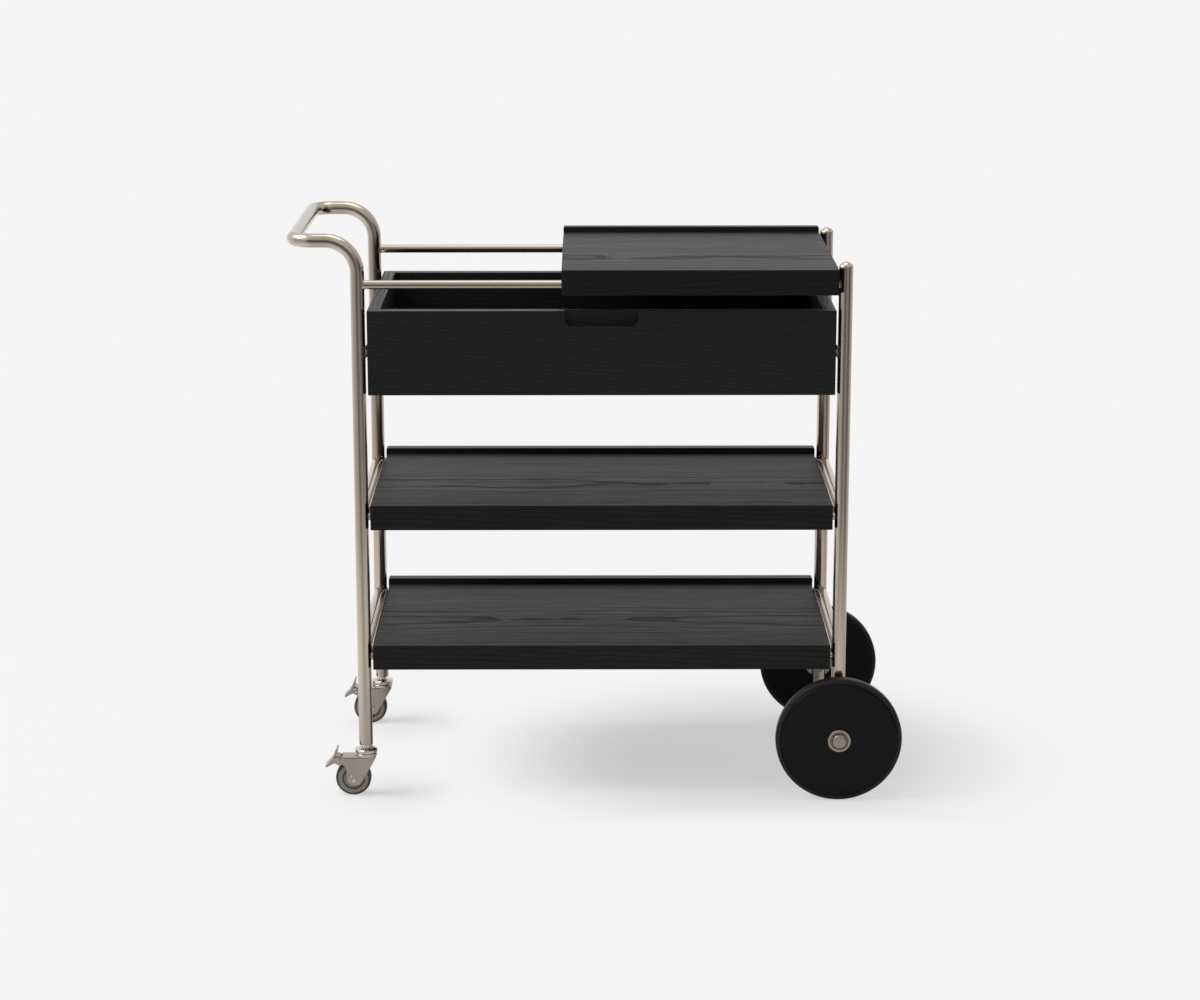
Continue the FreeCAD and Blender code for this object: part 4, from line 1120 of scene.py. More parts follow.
@dataclass
class Shelf:
    """A shelf: panel, front rail, back rail with a lip, and the two angles that carry the panel."""

    name: str
    top: float
    pith_shift: float
    bay: Bay = BAY
    rail_thick: float = 20.0
    rail_height: float = 40.0
    panel_thick: float = 20.0
    panel_recess: float = 2.0
    panel_corner: float = 1.0
    panel_grain: Grain = Grain(0, (0.0, 38.0, 152.5))
    front_grain: Grain = Grain(0, (700.0, 112.0, 150.0), 0.035)
    back_grain: Grain = Grain(0, (1500.0, 110.0, 140.0), -0.02)
    lip: float = 9.0
    angle_sheet: float = 2.5
    angle_top_drop: float = 6.0
    angle_radii: Sizes = (2.6, 0.6, 0.6, 0.4, 0.6, 0.6)
    angle_rim: float = 0.3
    angle_half: float = 181.0
    ledge: float = 30.0
    body: str = "frame"

    def build(self) -> None:
        """Make the shelf's boards and angles."""
        self.boards()
        self.angles()

    def boards(self) -> None:
        """Panel with its grain along X, and the two rails that edge it."""
        left, right = (self.bay.edge(side) for side in Side)
        outer = self.bay.half_depth
        inner = outer - self.rail_thick
        top = self.top
        foot = top - self.rail_height
        start = -self.pith_shift
        panel = board((left + self.panel_recess, -inner, top - self.panel_thick),
                      (right - self.panel_recess, inner, top), Plane.TOP, self.panel_grain,
                      (start, 0.0, top), corners=self.panel_corner)
        front = board((left, -outer, foot), (right, -inner, top), Plane.FRONT, self.front_grain,
                      (start, -outer, top))
        back = board((left, inner, foot), (right, outer, top + self.lip), Plane.FRONT, self.back_grain,
                     (start, inner, top), corners=LIPPED)
        for piece, shape, finish, node in (("panel", panel, ASH, "panel"),
                                           ("front_board", front, ASH, "front_rail"),
                                           ("back_board", back, EDGE_ASH, "back_rail")):
            add_piece(f"{self.name}_{piece}", shape, finish, self.body, f"{self.name}_shelf_{node}")

    def angles(self) -> None:
        """Bent angles: an L section carried along Y, its wall against the posts."""
        sheet = self.angle_sheet
        rise = self.panel_thick - self.angle_top_drop
        section = [(0.0, -sheet), (self.ledge, -sheet), (self.ledge, 0.0), (sheet, 0.0), (sheet, rise),
                   (0.0, rise)]
        parts = [bay_section(section, self.angle_radii, side,
                             (self.bay.flank(side), self.top - self.panel_thick),
                             (-self.angle_half, self.angle_half), self.angle_rim) for side in Side]
        add_piece(f"{self.name}_angles", Surface.joined(parts), SATIN, self.body,
                  f"{self.name}_shelf_angles")


@dataclass
class Drawer:
    """The open drawer: front with a finger slot, grooved sides, back, bottom and the slides' runners."""

    bay: Bay = BAY
    floor: float = 661.0
    top: float = 795.0
    board_thick: float = 20.0
    slot_width: float = 114.0
    slot_depth: float = 24.0
    slot_corner: float = 9.0
    slot_brow: float = 1.6
    slot_web: float = 7.0
    slot_draft: float = 0.3
    slot_ease: float = 0.9
    side_ease: float = 0.7
    groove: float = 10.5
    groove_brow: float = 1.0
    groove_corner: float = 0.5
    slide_depth: float = 12.0
    base_raise: float = 10.0
    base_thick: float = 8.0
    base_ease: float = 0.5
    base_corner: float = 0.8
    runner_start: float = 4.4
    runner_half: float = 5.5
    runner_sheet: float = 1.2
    runner_radii: Sizes = (0.5, 1.2, 1.2, 0.5, 0.5, 0.4, 0.4, 0.5)
    runner_rim: float = 0.25
    runner_ends: Pair = (-181.0, 189.0)
    front_grain: Grain = Grain(0, (3100.0, 110.0, 260.0), 0.07)
    side_grain: Grain = Grain(1, (4200.0, 55.0, 60.0))
    side_shift: float = 900.0
    back_grain: Grain = Grain(0, (5600.0, 110.0, 150.0), 0.03)
    bottom_grain: Grain = Grain(0, (6300.0, 30.0, 130.0))
    body: str = "drawer"

    def build(self) -> None:
        """Make the drawer's boards and runners."""
        self.front()
        self.sides()
        self.back_and_bottom()
        self.runners()

    def front(self) -> None:
        """The front board, with a finger slot that is open upwards and forwards and has a web behind it.

        Rings run from the front to the back. A ring of share s has the slot's outline drawn up to
        z = top - s (top - z), so s is 1 along the slot, falls to 0 up the web's face and stays 0 behind it.
        The slot's floor meets the web in a quarter circle, and the web's upper edge is another.
        """
        left, right = (self.bay.edge(side) for side in Side)
        middle = (left + right) / 2
        wide = self.slot_width / 2 + self.slot_draft
        narrow = self.slot_width / 2 - self.slot_draft
        deep = self.slot_depth
        top = self.top
        corners = np.array([(left, self.floor), (right, self.floor), (right, top), (middle + wide, top),
                            (middle + narrow, top - deep), (middle - narrow, top - deep),
                            (middle - wide, top), (left, top)])
        radii = np.array([BOARD_CORNER, BOARD_CORNER, BOARD_CORNER, self.slot_brow, self.slot_corner,
                          self.slot_corner, self.slot_brow, BOARD_CORNER])
        start = -self.bay.half_depth
        end = start + self.board_thick
        face = end - self.slot_web
        ease = self.slot_ease
        far, near = quarter(ease)
        climb = np.linspace(0.0, 1.0, RIM_STEPS)[1:-1]
        still = np.zeros(RIM_STEPS)
        depths = np.concatenate([start + far, face - near,
                                 face + self.slot_draft * climb, face + self.slot_draft + far,
                                 (end - far)[::-1]])
        insets = np.concatenate([near, still, still[1:-1], still, near[::-1]])
        shares = np.concatenate([still + 1.0, 1 - far / deep, 1 - climb * (1 - ease / deep), near / deep,
                                 still])
        drawn = np.stack([inset_ring(corners, radii, amount) for amount in insets])
        brow, last = SLOT_CORNERS
        slot = slice(brow * CORNER_STEPS, last * CORNER_STEPS)
        edge = (top - insets)[:, None]
        drawn[:, slot, 1] = edge - shares[:, None] * (edge - drawn[:, slot, 1])
        shape = self.front_grain.read(capped(drawn, depths, Plane.FRONT), (0.0, start, top))
        add_piece("drawer_front_board", shape, EDGE_ASH, self.body, "drawer_front")

    def sides(self) -> None:
        """Side boards, each with a groove along its outer face for the slide."""
        outer = self.bay.half_depth
        thick = self.board_thick
        deep = self.slide_depth - self.bay.gap
        low = self.bay.slide_height - self.groove
        high = self.bay.slide_height + self.groove
        section = [(0.0, self.floor), (thick, self.floor), (thick, self.top), (0.0, self.top),
                   (0.0, high), (deep, high), (deep, low), (0.0, low)]
        radii = [*[BOARD_CORNER] * 4, self.groove_brow, self.groove_corner, self.groove_corner,
                 self.groove_brow]
        for side in Side:
            edge = self.bay.edge(side)
            shape = bay_section(section, radii, side, (edge, 0.0), (thick - outer, outer), self.side_ease)
            shape = self.side_grain.read(shape, (-self.side_shift * side.value, edge, self.top))
            add_piece(f"drawer_{side.word}_board", shape, EDGE_ASH, self.body, f"drawer_{side.word}_side")

    def back_and_bottom(self) -> None:
        """Back and bottom boards between the sides."""
        left, right = (self.bay.edge(side) + side.value * self.board_thick for side in Side)
        outer = self.bay.half_depth
        inner = outer - self.board_thick
        back = board((left, inner, self.floor), (right, outer, self.top), Plane.FRONT, self.back_grain,
                     (0.0, inner, self.top))
        add_piece("drawer_back_board", back, EDGE_ASH, self.body, "drawer_back")
        base = self.floor + self.base_raise
        bottom = board((left, -inner, base), (right, inner, base + self.base_thick), Plane.TOP,
                       self.bottom_grain, (0.0, 0.0, base), self.base_ease, self.base_corner)
        add_piece("drawer_bottom_board", bottom, ASH, self.body, "drawer_bottom")

    def runners(self) -> None:
        """Inner members: a shallow channel section carried along Y in each groove."""
        half = self.runner_half
        near = self.runner_start
        far = self.slide_depth
        inside = half - self.runner_sheet
        web = far - self.runner_sheet
        section = [(near, -half), (far, -half), (far, half), (near, half), (near, inside), (web, inside),
                   (web, -inside), (near, -inside)]
        for side in Side:
            shape = bay_section(section, self.runner_radii, side,
                                (self.bay.flank(side), self.bay.slide_height), self.runner_ends,
                                self.runner_rim)
            add_piece(f"{side.word}_runner", shape, SLIDE_STEEL, self.body, f"{side.word}_slide_runner")


@dataclass
class SlideChannels:
    """The slides' outer members on the posts: a flat plate, and flanges behind the drawer front."""

    bay: Bay = BAY
    half: float = 9.5
    depth: float = 10.0
    sheet: float = 1.2
    plate_end: float = 198.0
    plate_radius: float = 0.4
    flange_start: float = -181.0
    flange_radii: Sizes = (1.4, 0.5, 0.5, 0.4, 0.4, 0.5, 0.5, 1.4)
    overlap: float = 0.5
    rim: float = 0.25
    body: str = "frame"

    def build(self) -> None:
        """A plain plate at the front and a channel section behind it, on each side."""
        half = self.half
        inside = half - self.sheet
        plate = box_outline((0.0, -half), (self.sheet, half))
        channel = [(0.0, -half), (self.depth, -half), (self.depth, -inside), (self.sheet, -inside),
                   (self.sheet, inside), (self.depth, inside), (self.depth, half), (0.0, half)]
        runs = ((plate, [self.plate_radius] * 4, (-self.plate_end, self.flange_start + self.overlap)),
                (channel, self.flange_radii, (self.flange_start, self.plate_end)))
        for side in Side:
            origin = (self.bay.flank(side), self.bay.slide_height)
            parts = [bay_section(section, radii, side, origin, span, self.rim)
                     for section, radii, span in runs]
            add_piece(f"{side.word}_channel", Surface.joined(parts), SLIDE_STEEL, self.body,
                      f"{side.word}_slide_channel")


@dataclass
class TopTray:
    """The tray that slides on the top rails: panel, front apron, back apron with a lip, and glides."""

    bay: Bay = BAY
    left: float = -57.75
    right: float = 373.25
    half_panel: float = 198.0
    panel_ease: float = 0.7
    apron: float = 18.0
    underside: float = 843.3
    top: float = 861.3
    apron_foot: float = 821.3
    lip: float = 9.0
    glide: Sizes = (30.0, 12.0, 1.5)
    glide_corner: float = 3.0
    glide_ease: float = 0.4
    glide_inset: float = 30.0
    panel_grain: Grain = Grain(0, (7300.0, 75.0, 150.0))
    front_grain: Grain = Grain(0, (8200.0, 108.0, 150.0), -0.06)
    back_grain: Grain = Grain(0, (9100.0, 110.0, 150.0), 0.02)
    body: str = "tray"

    def build(self) -> None:
        """Make the tray's boards and glides."""
        self.boards()
        self.glides()

    def boards(self) -> None:
        """Panel with its grain along X, and the two aprons that edge it."""
        left = self.left
        right = self.right
        half = self.half_panel
        outer = half + self.apron
        top = self.top
        foot = self.apron_foot
        panel = board((left, -half, self.underside), (right, half, top), Plane.TOP, self.panel_grain,
                      (0.0, 0.0, top), self.panel_ease)
        front = board((left, -outer, foot), (right, -half, top), Plane.FRONT, self.front_grain,
                      (0.0, -outer, top))
        back = board((left, half, foot), (right, outer, top + self.lip), Plane.FRONT, self.back_grain,
                     (0.0, half, top), corners=LIPPED)
        for piece, shape, finish, node in (("board", panel, ASH, "panel"),
                                           ("front_board", front, ASH, "front_apron"),
                                           ("back_board", back, EDGE_ASH, "back_apron")):
            add_piece(f"tray_{piece}", shape, finish, self.body, f"tray_{node}")

    def glides(self) -> None:
        """Four thin pads between the panel and the rails."""
        length, width, thick = self.glide
        pads = []
        for x in (self.left + self.glide_inset, self.right - self.glide_inset):
            for end in End:
                y = end.value * self.bay.post_y
                outline = box_outline((x - length / 2, y - width / 2), (x + length / 2, y + width / 2))
                pads.append(carried(outline, self.glide_corner, Plane.TOP, self.underside - thick,
                                    self.underside, self.glide_ease))
        add_piece("tray_pads", Surface.joined(pads), BLACK_NYLON, self.body, "tray_glides")


@dataclass
class LargeWheel:
    """A large wheel outside a right post: lacquered disc, rubber tyre, hub cap and inner flange.

    Profiles are measured outwards from the post's axis.
    """

    end: End
    bay: Bay = BAY
    radius: float = 101.5
    seat: float = 94.0
    tyre: Pair = (17.5, 37.5)
    shoulder: float = 5.0
    seat_ease: float = 1.0
    tyre_steps: int = 8
    disc: Pair = (15.5, 39.5)
    disc_edge: float = 4.0
    disc_steps: int = 10
    bush: float = 8.05
    bush_ease: float = 0.5
    cap_line: Line = ((40.0, 0.0), (40.0, 18.5), (43.0, 18.5), (43.0, 14.4), (41.4, 13.4), (41.4, 12.0),
                      (50.0, 12.0), (50.0, 0.0))
    cap_radii: Sizes = (0.4, 0.9, 0.9, 0.5, 0.5, 4.2)
    flange: Pair = (11.0, 15.0)
    flange_radii: Pair = (5.1, 23.0)
    flange_ease: float = 0.6

    @property
    def axis(self) -> Point:
        """Outwards along Y."""
        return (0.0, float(self.end.value), 0.0)

    @property
    def centre(self) -> Point:
        """Where the post's axis meets the axle's."""
        return (self.bay.right_post, self.end.value * self.bay.post_y, self.radius)

    def build(self) -> None:
        """Make the turning pieces, and finish the bush and axle."""
        word = self.end.word
        tread = washer(self.tyre, (self.seat, self.radius), self.seat_ease, self.shoulder, self.tyre_steps)
        face = washer(self.disc, (self.bush, self.seat), self.bush_ease, self.disc_edge, self.disc_steps)
        for piece, profile, finish, node in (("tread", tread, BLACK_RUBBER, "tyre"),
                                             ("disc", face, WHEEL_BLACK, "disc")):
            shape = turned(profile, self.axis, self.centre, wrap=True, segments=WHEEL_SEGMENTS)
            add_piece(f"{word}_{piece}", shape, finish, f"{word}_wheel", f"{word}_wheel_{node}")
        dress_node(f"{word}_wheel_bush", BRONZE)
        dress_node(f"{word}_wheel_axle", POLISHED)

    def hub_cap(self) -> Surface:
        """The outer cap: a thin flange, a groove and a low dome with a rounded edge."""
        return turned(bent_line(self.cap_line, self.cap_radii)[0], self.axis, self.centre)

    def inner_flange(self) -> Surface:
        """The flange between the post and the wheel."""
        profile = washer(self.flange, self.flange_radii, self.flange_ease, self.flange_ease)
        return turned(profile, self.axis, self.centre, wrap=True)


@dataclass
class Caster:
    """A braked caster under a left leg: stem, fork, wheel, rivets and pedal, trailing towards -X.

    X is measured from the stem's axis. The stem's and cup's lines are (height, radius), the wheel's three
    lines are (half width, radius) from the middle outwards, and the pedal's is (x, z) from its pin. A rivet
    is its shank's radius, its head's radius and its head's height; the dimple's edge and floor are shares
    of the head's radius, and the floor's height a share of the head's.
    """

    end: End
    bay: Bay = BAY
    trail: float = 21.0
    wheel: float = 28.5
    boss: float = 10.5
    boss_corner: float = 9.5
    fork_half: float = 13.0
    nose_half: float = 6.5
    nose_start: float = -9.0
    fork_nose: float = 16.0
    fork_sheet: float = 2.0
    fork_edge: float = 0.4
    fork_top: float = 66.5
    fork_bend: float = 3.5
    fork_skirt: float = 3.5
    skirt_corner: float = 2.0
    plate_back: float = -38.0
    plate_share: float = -0.45
    throat: float = 11.0
    lug_back: float = -52.0
    lug_foot: float = 53.5
    lug_top: float = 65.5
    lug_corner: float = 5.0
    lug_root: float = 2.2
    fork_steps: int = 14
    lug_steps: int = 12
    root_steps: int = 8
    joint_rows: int = 9
    cheek_columns: int = 30
    line_squeeze: Point = (1.0, 1.0, 0.2)
    cup_line: Line = ((66.2, 0.0), (66.2, 17.5), (71.0, 17.5), (71.0, 0.0))
    cup_radii: Pair = (0.3, 1.6)
    race_rise: float = 2.4
    race_run: float = 11.0
    race_rows: int = 14
    king_line: Line = ((61.4, 0.0), (61.4, 8.0), (63.9, 8.0), (63.9, 5.0), (71.6, 5.0), (71.6, 18.0),
                       (76.6, 18.0))
    king_radii: Sizes = (0.5, 0.5, 0.3, 0.3, 1.6)
    collar_line: Line = ((79.0, 7.0), (84.0, 7.0), (84.0, 11.0), (85.4, 11.0), (85.4, 0.0))
    collar_radii: Sizes = (0.5, 0.4, 0.3)
    axle_rivet: Sizes = (3.0, 6.5, 2.0)
    pin_rivet: Sizes = (2.5, 4.0, 1.5)
    dimple: Sizes = (0.62, 0.42, 0.35)
    rivet_rim: float = 0.2
    dimple_radii: Sizes = (0.45, 0.4, 0.5)
    band_line: Line = ((6.8, 28.5), (9.8, 25.4), (9.1, 24.3))
    band_radii: Sizes = (3.0, 0.9, 0.2)
    tyre_line: Line = ((9.0, 24.7), (10.0, 24.0), (10.0, 18.0))
    tyre_radii: Sizes = (0.2, 0.5, 0.6)
    hub_line: Line = ((6.0, 17.98), (6.0, 15.9), (9.2, 15.5), (9.2, 8.6), (7.4, 8.0), (7.4, 7.0), (10.7, 6.5),
                      (10.7, 3.05))
    hub_radii: Sizes = (0.25,) * 8
    pin: Pair = (-46.0, 59.5)
    pedal_half: float = 10.4
    pedal_ease: float = 0.5
    pedal_line: Line = ((3.63, -9.96), (5.0, 0.0), (5.0, 5.0), (-1.25, 7.5), (1.25, 20.0), (-1.25, 20.0),
                        (-8.5, 2.5), (-20.0, -10.0), (-18.5, -12.5), (-5.0, -5.0))
    pedal_radii: Sizes = (1.0, 2.5, 2.0, 2.0, 1.1, 1.1, 2.0, 0.9, 0.9, 2.5)

    @property
    def swivel(self) -> str:
        """The body that turns about the stem."""
        return f"{self.end.word}_caster_swivel"

    def at(self, x: float, z: float) -> Point:
        """A place in the caster's middle plane, x from the stem's axis and z from the floor."""
        return (self.bay.left_post + x, self.end.value * self.bay.post_y, z)

    def build(self) -> None:
        """Make the caster's pieces."""
        self.stem()
        self.fork()
        self.rivets()
        self.rolling()
        self.pedal()

    def stem(self) -> None:
        """Collar, neck, domed race with a plain rim, and kingpin as one turned piece."""
        lower, _ = bent_line(self.king_line, self.king_radii)
        peak, neck = self.collar_line[0]
        race = dome_line(peak, self.race_rise, self.race_run, self.race_rows) + (0.0, neck)
        upper, _ = bent_line(self.collar_line, self.collar_radii)
        profile = np.vstack([lower[:-1], race, upper[1:]])
        word = self.end.word
        add_piece(f"{word}_stem", turned(profile, Z_AXIS, self.at(0.0, 0.0)), LIT_NICKEL, "frame",
                  f"{word}_caster_stem")

    def half_width(self, x: np.ndarray) -> np.ndarray:
        """Half the fork's width: straight at the back, drawn in as a parabola towards the nose."""
        along = np.clip((x - self.nose_start) / (self.fork_nose - self.nose_start), 0.0, 1.0)
        return self.fork_half - (self.fork_half - self.nose_half) * along ** 2

    def sheet(self, back: np.ndarray, front: np.ndarray, line: np.ndarray, columns: int) -> Surface:
        """One patch of the fork's sheet.

        A row runs from its back edge to its front edge, x = back + v (front - back); line gives the row's
        place across the fork, as a share of its half width, and its height.

        Args:
            back: each row's back edge.
            front: each row's front edge.
            line: each row's share and height.
            columns: points along a row.

        Returns:
            The open sheet, facing outwards where the rows climb the front cheek.
        """
        x = back[:, None] + np.linspace(0.0, 1.0, columns) * (front - back)[:, None]
        origin_x, origin_y, _ = self.at(0.0, 0.0)
        points = np.empty((*x.shape, 3))
        points[..., 0] = origin_x + x
        points[..., 1] = origin_y + line[:, :1] * self.half_width(x)
        points[..., 2] = line[:, 1:]
        row, column = np.meshgrid(np.arange(len(x) - 1), np.arange(columns - 1), indexing="ij")
        corner = (row * columns + column).ravel()
        quads = np.stack([corner, corner + 1, corner + columns + 1, corner + columns], axis=-1)
        flat = points.reshape(-1, 3)
        return Surface(flat, [quads], flat * np.array(self.line_squeeze))

    def fork(self) -> None:
        """The bent sheet with its two lugs, and the bearing cup on it."""
        joint = np.linspace(self.lug_foot, self.fork_top - self.fork_bend, self.joint_rows)
        word = self.end.word
        add_piece(f"{word}_fork", Surface.joined([self.cheeks(joint), *self.lugs(joint)]), POLISHED,
                  self.swivel, f"{word}_caster_fork", sheet=self.fork_sheet, ease=self.fork_edge)
        cup, _ = bent_line(self.cup_line, self.cup_radii)
        add_piece(f"{word}_cup", turned(cup, Z_AXIS, self.at(0.0, 0.0)), LIT_NICKEL, self.swivel)

    @property
    def root(self) -> float:
        """X of the line where the lugs leave the cheeks."""
        return -self.trail - self.boss - self.throat

    def cheeks(self, joint: np.ndarray) -> Surface:
        """An inverted U from cheek to cheek, its edges read off the side view's back and front lines.

        Args:
            joint: heights of the rows that the lugs share.

        Returns:
            The open sheet.
        """
        top = self.fork_top
        bend = self.fork_bend
        foot = self.wheel - self.boss
        boss_back = -self.trail - self.boss
        back, _ = bent_line([(-self.trail, foot), (boss_back, foot), (boss_back, self.lug_foot),
                             (self.root, self.lug_foot)], [self.boss_corner, self.throat], self.fork_steps)
        front, _ = bent_line([(-self.trail, foot), (self.boss - self.trail, foot),
                              (self.fork_nose, top - self.fork_skirt), (self.fork_nose, top)],
                             [self.boss_corner, self.skirt_corner], self.fork_steps)
        marks = np.concatenate([back[1:, 1], front[1:, 1]])
        marks = marks[marks < self.lug_foot - ROW_GAP]
        climb = np.unique(np.round(np.concatenate([marks, joint]), ROW_DIGITS))
        turn = np.linspace(0.0, np.pi / 2, self.joint_rows)[1:]
        arch = np.stack([-1.0 + bend / self.fork_half * (1 - np.cos(turn)),
                         top - bend + bend * np.sin(turn)], axis=-1)
        middle = np.array([[self.plate_share, top], [0.0, top]])
        rise = np.vstack([np.stack([np.full(len(climb), -1.0), climb], axis=-1), arch, middle])
        height = rise[:, 1]
        lifted = np.clip((height - (top - bend)) / bend, 0.0, 1.0)
        x_back = np.interp(height, back[1:, 1], back[1:, 0]) + lifted * (self.plate_back - self.root)
        x_front = np.interp(height, front[1:, 1], front[1:, 0])
        down = slice(-2, None, -1)
        return self.sheet(np.concatenate([x_back, x_back[down]]), np.concatenate([x_front, x_front[down]]),
                          np.vstack([rise, mirrored(rise[:-1])]), self.cheek_columns)

    def lugs(self, joint: np.ndarray) -> list[Surface]:
        """A lug behind each cheek for the pedal pin.

        Args:
            joint: heights of the rows that the cheeks share.

        Returns:
            The two open sheets, front first.
        """
        root = self.root
        outer, _ = bent_line([(root, self.lug_foot), (self.lug_back, self.lug_foot),
                              (self.lug_back, self.lug_top), (root, self.lug_top)],
                             [self.lug_corner, self.lug_corner], self.lug_steps)
        inner, _ = bent_line([(root, joint[-1]), (root, self.lug_top), (self.lug_back, self.lug_top)],
                             [self.lug_root], self.root_steps)
        rows = np.concatenate([joint, np.linspace(joint[-1], self.lug_top, self.root_steps)[1:]])
        back = np.interp(rows, outer[1:-1, 1], outer[1:-1, 0])
        front = np.interp(rows, inner[:-1, 1], inner[:-1, 0])
        patches = []
        for end in End:
            order = slice(None, None, -end.value)
            line = np.stack([np.full(len(rows), float(end.value)), rows], axis=-1)
            patches.append(self.sheet(back[order], front[order], line[order], self.joint_rows))
        return patches

    def rivets(self) -> None:
        """The axle and the pedal pin, each with a domed and dimpled head outside both cheeks."""
        word = self.end.word
        brow, pit, sunk = self.dimple
        edge, fall, floor = self.dimple_radii
        out = self.fork_half
        for name, node, centre, (shank, head, tall) in (
                ("axle_rivet", "caster_axle", self.at(-self.trail, self.wheel), self.axle_rivet),
                ("pin_rivet", "pedal_pin", self.at(*self.pin), self.pin_rivet)):
            peak = out + tall
            low = out + sunk * tall
            side, _ = bent_line([(0.0, shank), (out, shank), (out, head), (peak, head), (peak, brow * head),
                                 (low, pit * head), (low, 0.0)],
                                [self.rivet_rim, self.rivet_rim, edge * tall, fall * tall, floor])
            profile = np.vstack([mirrored(side[1:]), side])
            add_piece(f"{word}_{name}", turned(profile, Y_AXIS, centre, segments=RIVET_SEGMENTS), RIVET,
                      self.swivel, f"{word}_{node}")

    def rolling(self) -> None:
        """Dark tread round a grey tyre with a flat side ring, and a moulded hub behind a deep groove."""
        word = self.end.word
        for name, line, radii, finish, nodes in (
                ("caster_band", self.band_line, self.band_radii, TREAD_RUBBER, []),
                ("roller", self.tyre_line, self.tyre_radii, GREY_RUBBER, [f"{word}_caster_tyre"]),
                ("roller_hub", self.hub_line, self.hub_radii, GREY_PLASTIC, [f"{word}_caster_hub"])):
            profile = closed_line(np.vstack([mirrored(line), line]), [*radii[::-1], *radii])
            shape = turned(profile, Y_AXIS, self.at(-self.trail, self.wheel), wrap=True)
            add_piece(f"{word}_{name}", shape, finish, f"{word}_caster_wheel", *nodes)

    def pedal(self) -> None:
        """The brake lever's side outline carried across the fork."""
        pin_x, y, pin_z = self.at(*self.pin)
        corners = np.asarray(self.pedal_line) + (pin_x, pin_z)
        shape = carried(corners, self.pedal_radii, Plane.FRONT, y - self.pedal_half, y + self.pedal_half,
                        self.pedal_ease)
        word = self.end.word
        add_piece(f"{word}_pedal", lined(shape, 1), POLISHED, f"{word}_brake", f"{word}_brake_pedal")


@dataclass(frozen=True)
class Lamp:
    """A square soft light: its place and the point it faces in metres, its width and its watts."""

    name: str
    place: Point
    aim: Point
    width: float
    power: float

    def build(self) -> None:
        """Put the light into the scene, facing its aim."""
        data = bpy.data.lights.new(self.name, "AREA")
        data.shape = "SQUARE"
        data.size = self.width
        data.energy = self.power
        lamp = placed(self.name, data)
        lamp.location = self.place
        lamp.rotation_mode = "QUATERNION"
        lamp.rotation_quaternion = Vector(np.subtract(self.aim, self.place)).to_track_quat("-Z", "Y")


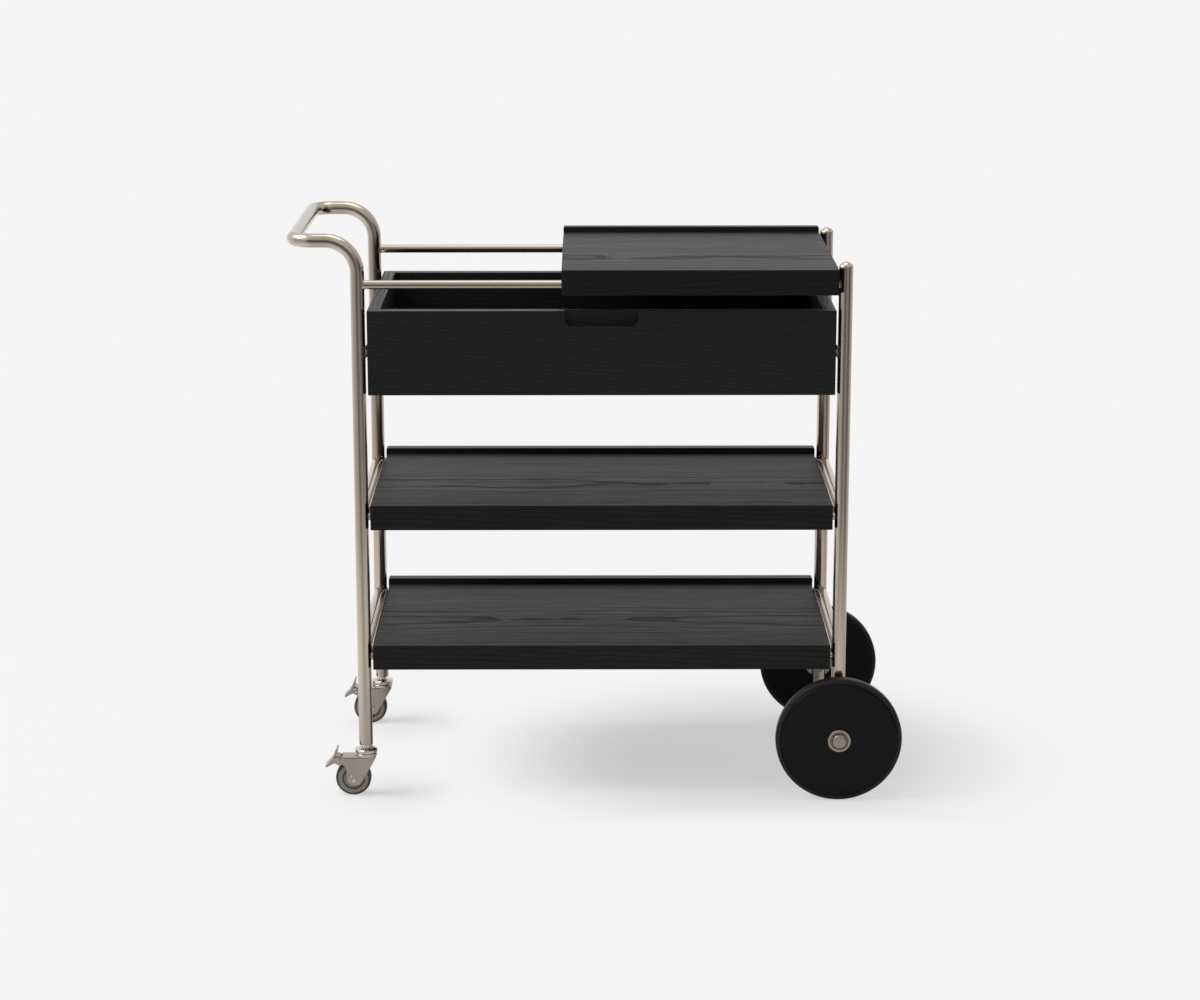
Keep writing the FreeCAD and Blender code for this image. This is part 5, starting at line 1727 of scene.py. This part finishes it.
@dataclass
class Studio:
    """Camera at the photograph's angle, pale floor, soft lights and an even backdrop, in metres.

    A shadow spot is the x and y of its middle, and how far from there the floor begins and ends to clear.
    """

    camera_at: Point = (-0.0175, -4.6548, 1.5568)
    pitch_deg: float = 13.445
    yaw_deg: float = -0.252
    lens: float = 86.82
    sensor: float = 36.0
    sight: float = 60.0
    backdrop: float = 0.913
    fill: float = 0.3
    floor_radius: float = 6.0
    floor_fade: Pair = (0.9, 2.6)
    floor_colour: Colour = (0.95, 0.95, 0.95)
    # painted reflection: how pale the floor is painted for gloss alone, past white towards the wheels' end
    # and out past the casters
    painted_gloss_floor: Pair = (0.82, 1.35)
    gloss_span: Pair = (-0.3, 0.35)
    gloss_beyond: float = 0.3
    beyond_span: Pair = (-1.0, -0.42)
    shadow_spots: tuple[Sizes, ...] = (
        (0.26, 0.0, 0.19, 0.55), (-0.35, -0.19, 0.03, 0.14), (-0.35, 0.19, 0.03, 0.14))
    front_span: Pair = (-0.36, -0.23)
    floor_glow: Pair = (0.58, 0.98)
    lamps: tuple[Lamp, ...] = (Lamp("key", (-2.2, -0.25, 2.85), (0.0, 0.0, 0.4), 1.7, 76.0),
                               Lamp("overhead", (0.1, 0.2, 3.1), (0.0, 0.0, 0.4), 1.6, 12.0))
    room_front: float = 0.25
    room_span: Pair = (-0.95, 0.7)
    room_side: float = 0.16
    room_bands: float = 0.25
    band_count: float = 5.0
    band_turn: float = 0.9
    room_above: float = 0.85
    above_span: Pair = (0.02, 0.55)
    room_below: float = 0.18
    below_span: Pair = (-0.3, -0.02)

    def build(self) -> None:
        """Set the stage."""
        bpy.context.scene.view_settings.view_transform = "Standard"
        self.camera()
        self.floor()
        for lamp in self.lamps:
            lamp.build()
        self.world()

    def camera(self) -> None:
        """A level camera pitched down, without shift or depth of field."""
        data = bpy.data.cameras.new("camera")
        data.lens = self.lens
        data.sensor_width = self.sensor
        data.sensor_fit = "HORIZONTAL"
        data.clip_end = self.sight
        camera = placed("camera", data)
        camera.location = self.camera_at
        camera.rotation_euler = (math.radians(90.0 - self.pitch_deg), 0.0, math.radians(self.yaw_deg))
        bpy.context.scene.camera = camera

    def floor(self) -> None:
        """A round pale floor that fades into the backdrop with distance.

        What the camera sees of it is part shadowed ground and part backdrop glow, all glow in front of the
        wheels; gloss meets a painted reflection, a ground painted paler than the floor and past white towards
        the wheels' end and out past the casters, and everything else the plain ground.
        """
        t = even_angles(FLOOR_SEGMENTS)
        rim = np.stack([np.cos(t), np.sin(t), np.zeros_like(t)], axis=-1) * self.floor_radius / MM
        ground = Surface(rim, [np.arange(FLOOR_SEGMENTS)[None]], rim)
        floor = placed("floor", ground.mesh("floor"))
        material = bpy.data.materials.new("pale_floor")
        nodes = NodeWriter(material, Read.FRAME)
        path = nodes.add("ShaderNodeLightPath").outputs
        place = nodes.split(nodes.place)
        fade = nodes.ranged(nodes.distance((0.0, 0.0, 0.0)), *self.floor_fade)
        zones = [nodes.ranged(nodes.distance((x, y, 0.0)), near, far, *self.floor_glow)
                 for x, y, near, far in self.shadow_spots]
        glowing = zones[0]
        for zone in zones[1:]:
            glowing = nodes.maths("MINIMUM", glowing, zone)
        ahead = nodes.ranged(place["Y"], *self.front_span, *self.floor_glow[::-1])
        glowing = nodes.maths("MAXIMUM", glowing, ahead)
        # painted reflection: gloss meets this floor, painted paler than the real one, so the metal near the
        # wheels and casters shows brighter
        in_gloss = nodes.maths("ADD", nodes.ranged(place["X"], *self.gloss_span, *self.painted_gloss_floor),
                               nodes.ranged(place["X"], *self.beyond_span, self.gloss_beyond, 0.0))
        plain = nodes.blended(path["Is Glossy Ray"],
                              nodes.shader("ShaderNodeBsdfDiffuse", {"Color": self.floor_colour}),
                              nodes.shader("ShaderNodeBsdfDiffuse", {"Color": in_gloss}))
        glow = nodes.shader("ShaderNodeEmission", {"Strength": self.backdrop})
        lit = nodes.blended(nodes.maths("MULTIPLY", path["Is Camera Ray"], glowing), plain, glow)
        nodes.close(nodes.blended(fade, lit, nodes.shader("ShaderNodeBsdfTransparent")))
        floor.data.materials.append(material)

    def world(self) -> None:
        """The backdrop for what is seen directly, a graded room for gloss, and an even fill for the rest.

        The room's strength over a direction is the grade from front to back, less the side slope times x,
        plus the bands, sin(count azimuth + turn), which fade towards the back as the front half's own
        brightening away from the horizon does, more upwards than downwards.
        """
        world = bpy.data.worlds.new("studio")
        bpy.context.scene.world = world
        nodes = NodeWriter(world, Read.SKY)
        path = nodes.add("ShaderNodeLightPath").outputs
        toward = nodes.split(nodes.place)
        graded = nodes.ranged(toward["Y"], *self.room_span, self.room_front, self.backdrop)
        near = nodes.maths("SUBTRACT", self.backdrop, graded)
        azimuth = nodes.maths("ARCTAN2", toward["Y"], toward["X"])
        wave = nodes.maths("SINE", nodes.maths("MULTIPLY_ADD", azimuth, self.band_count, self.band_turn))
        above = nodes.ranged(toward["Z"], *self.above_span, 0.0, self.room_above)
        below = nodes.ranged(toward["Z"], *self.below_span, self.room_below, 0.0)
        level = nodes.maths("MULTIPLY_ADD", toward["X"], -self.room_side, graded)
        level = nodes.maths("MULTIPLY_ADD", wave, nodes.maths("MULTIPLY", near, self.room_bands), level)
        level = nodes.maths("MULTIPLY_ADD", near, nodes.maths("ADD", above, below), level)
        room, seen, fill = (nodes.shader("ShaderNodeBackground", {"Color": WHITE, "Strength": strength})
                            for strength in (level, self.backdrop, self.fill))
        direct = nodes.maths("MAXIMUM", path["Is Camera Ray"], path["Is Transmission Ray"])
        shiny = nodes.blended(path["Is Glossy Ray"], fill, room)
        nodes.close(nodes.blended(direct, shiny, seen), "ShaderNodeOutputWorld")


def main() -> None:
    """Build the studio and each sub-assembly in order."""
    logging.basicConfig(level=logging.INFO, format="%(message)s")
    Studio().build()
    TubeFrame().build()
    for (name, top), pith_shift in zip(BAY.shelf_tops, SHELF_PITHS):
        Shelf(name, top, pith_shift).build()
    Drawer().build()
    SlideChannels().build()
    TopTray().build()
    wheels = [LargeWheel(end) for end in End]
    for wheel in wheels:
        wheel.build()
    add_piece("hub_caps", Surface.joined([wheel.hub_cap() for wheel in wheels]), SHADED_CAP, "frame",
              "wheel_hub_caps")
    add_piece("inner_flanges", Surface.joined([wheel.inner_flange() for wheel in wheels]), SATIN, "frame",
              "wheel_inner_flanges")
    for end in End:
        Caster(end).build()
    for node, finish in (("frame_screws", POLISHED), ("runner_screws", SLIDE_STEEL),
                         ("slide_ball_cages", SLIDE_STEEL)):
        dress_node(node, finish)


if __name__ == "__main__":
    main()
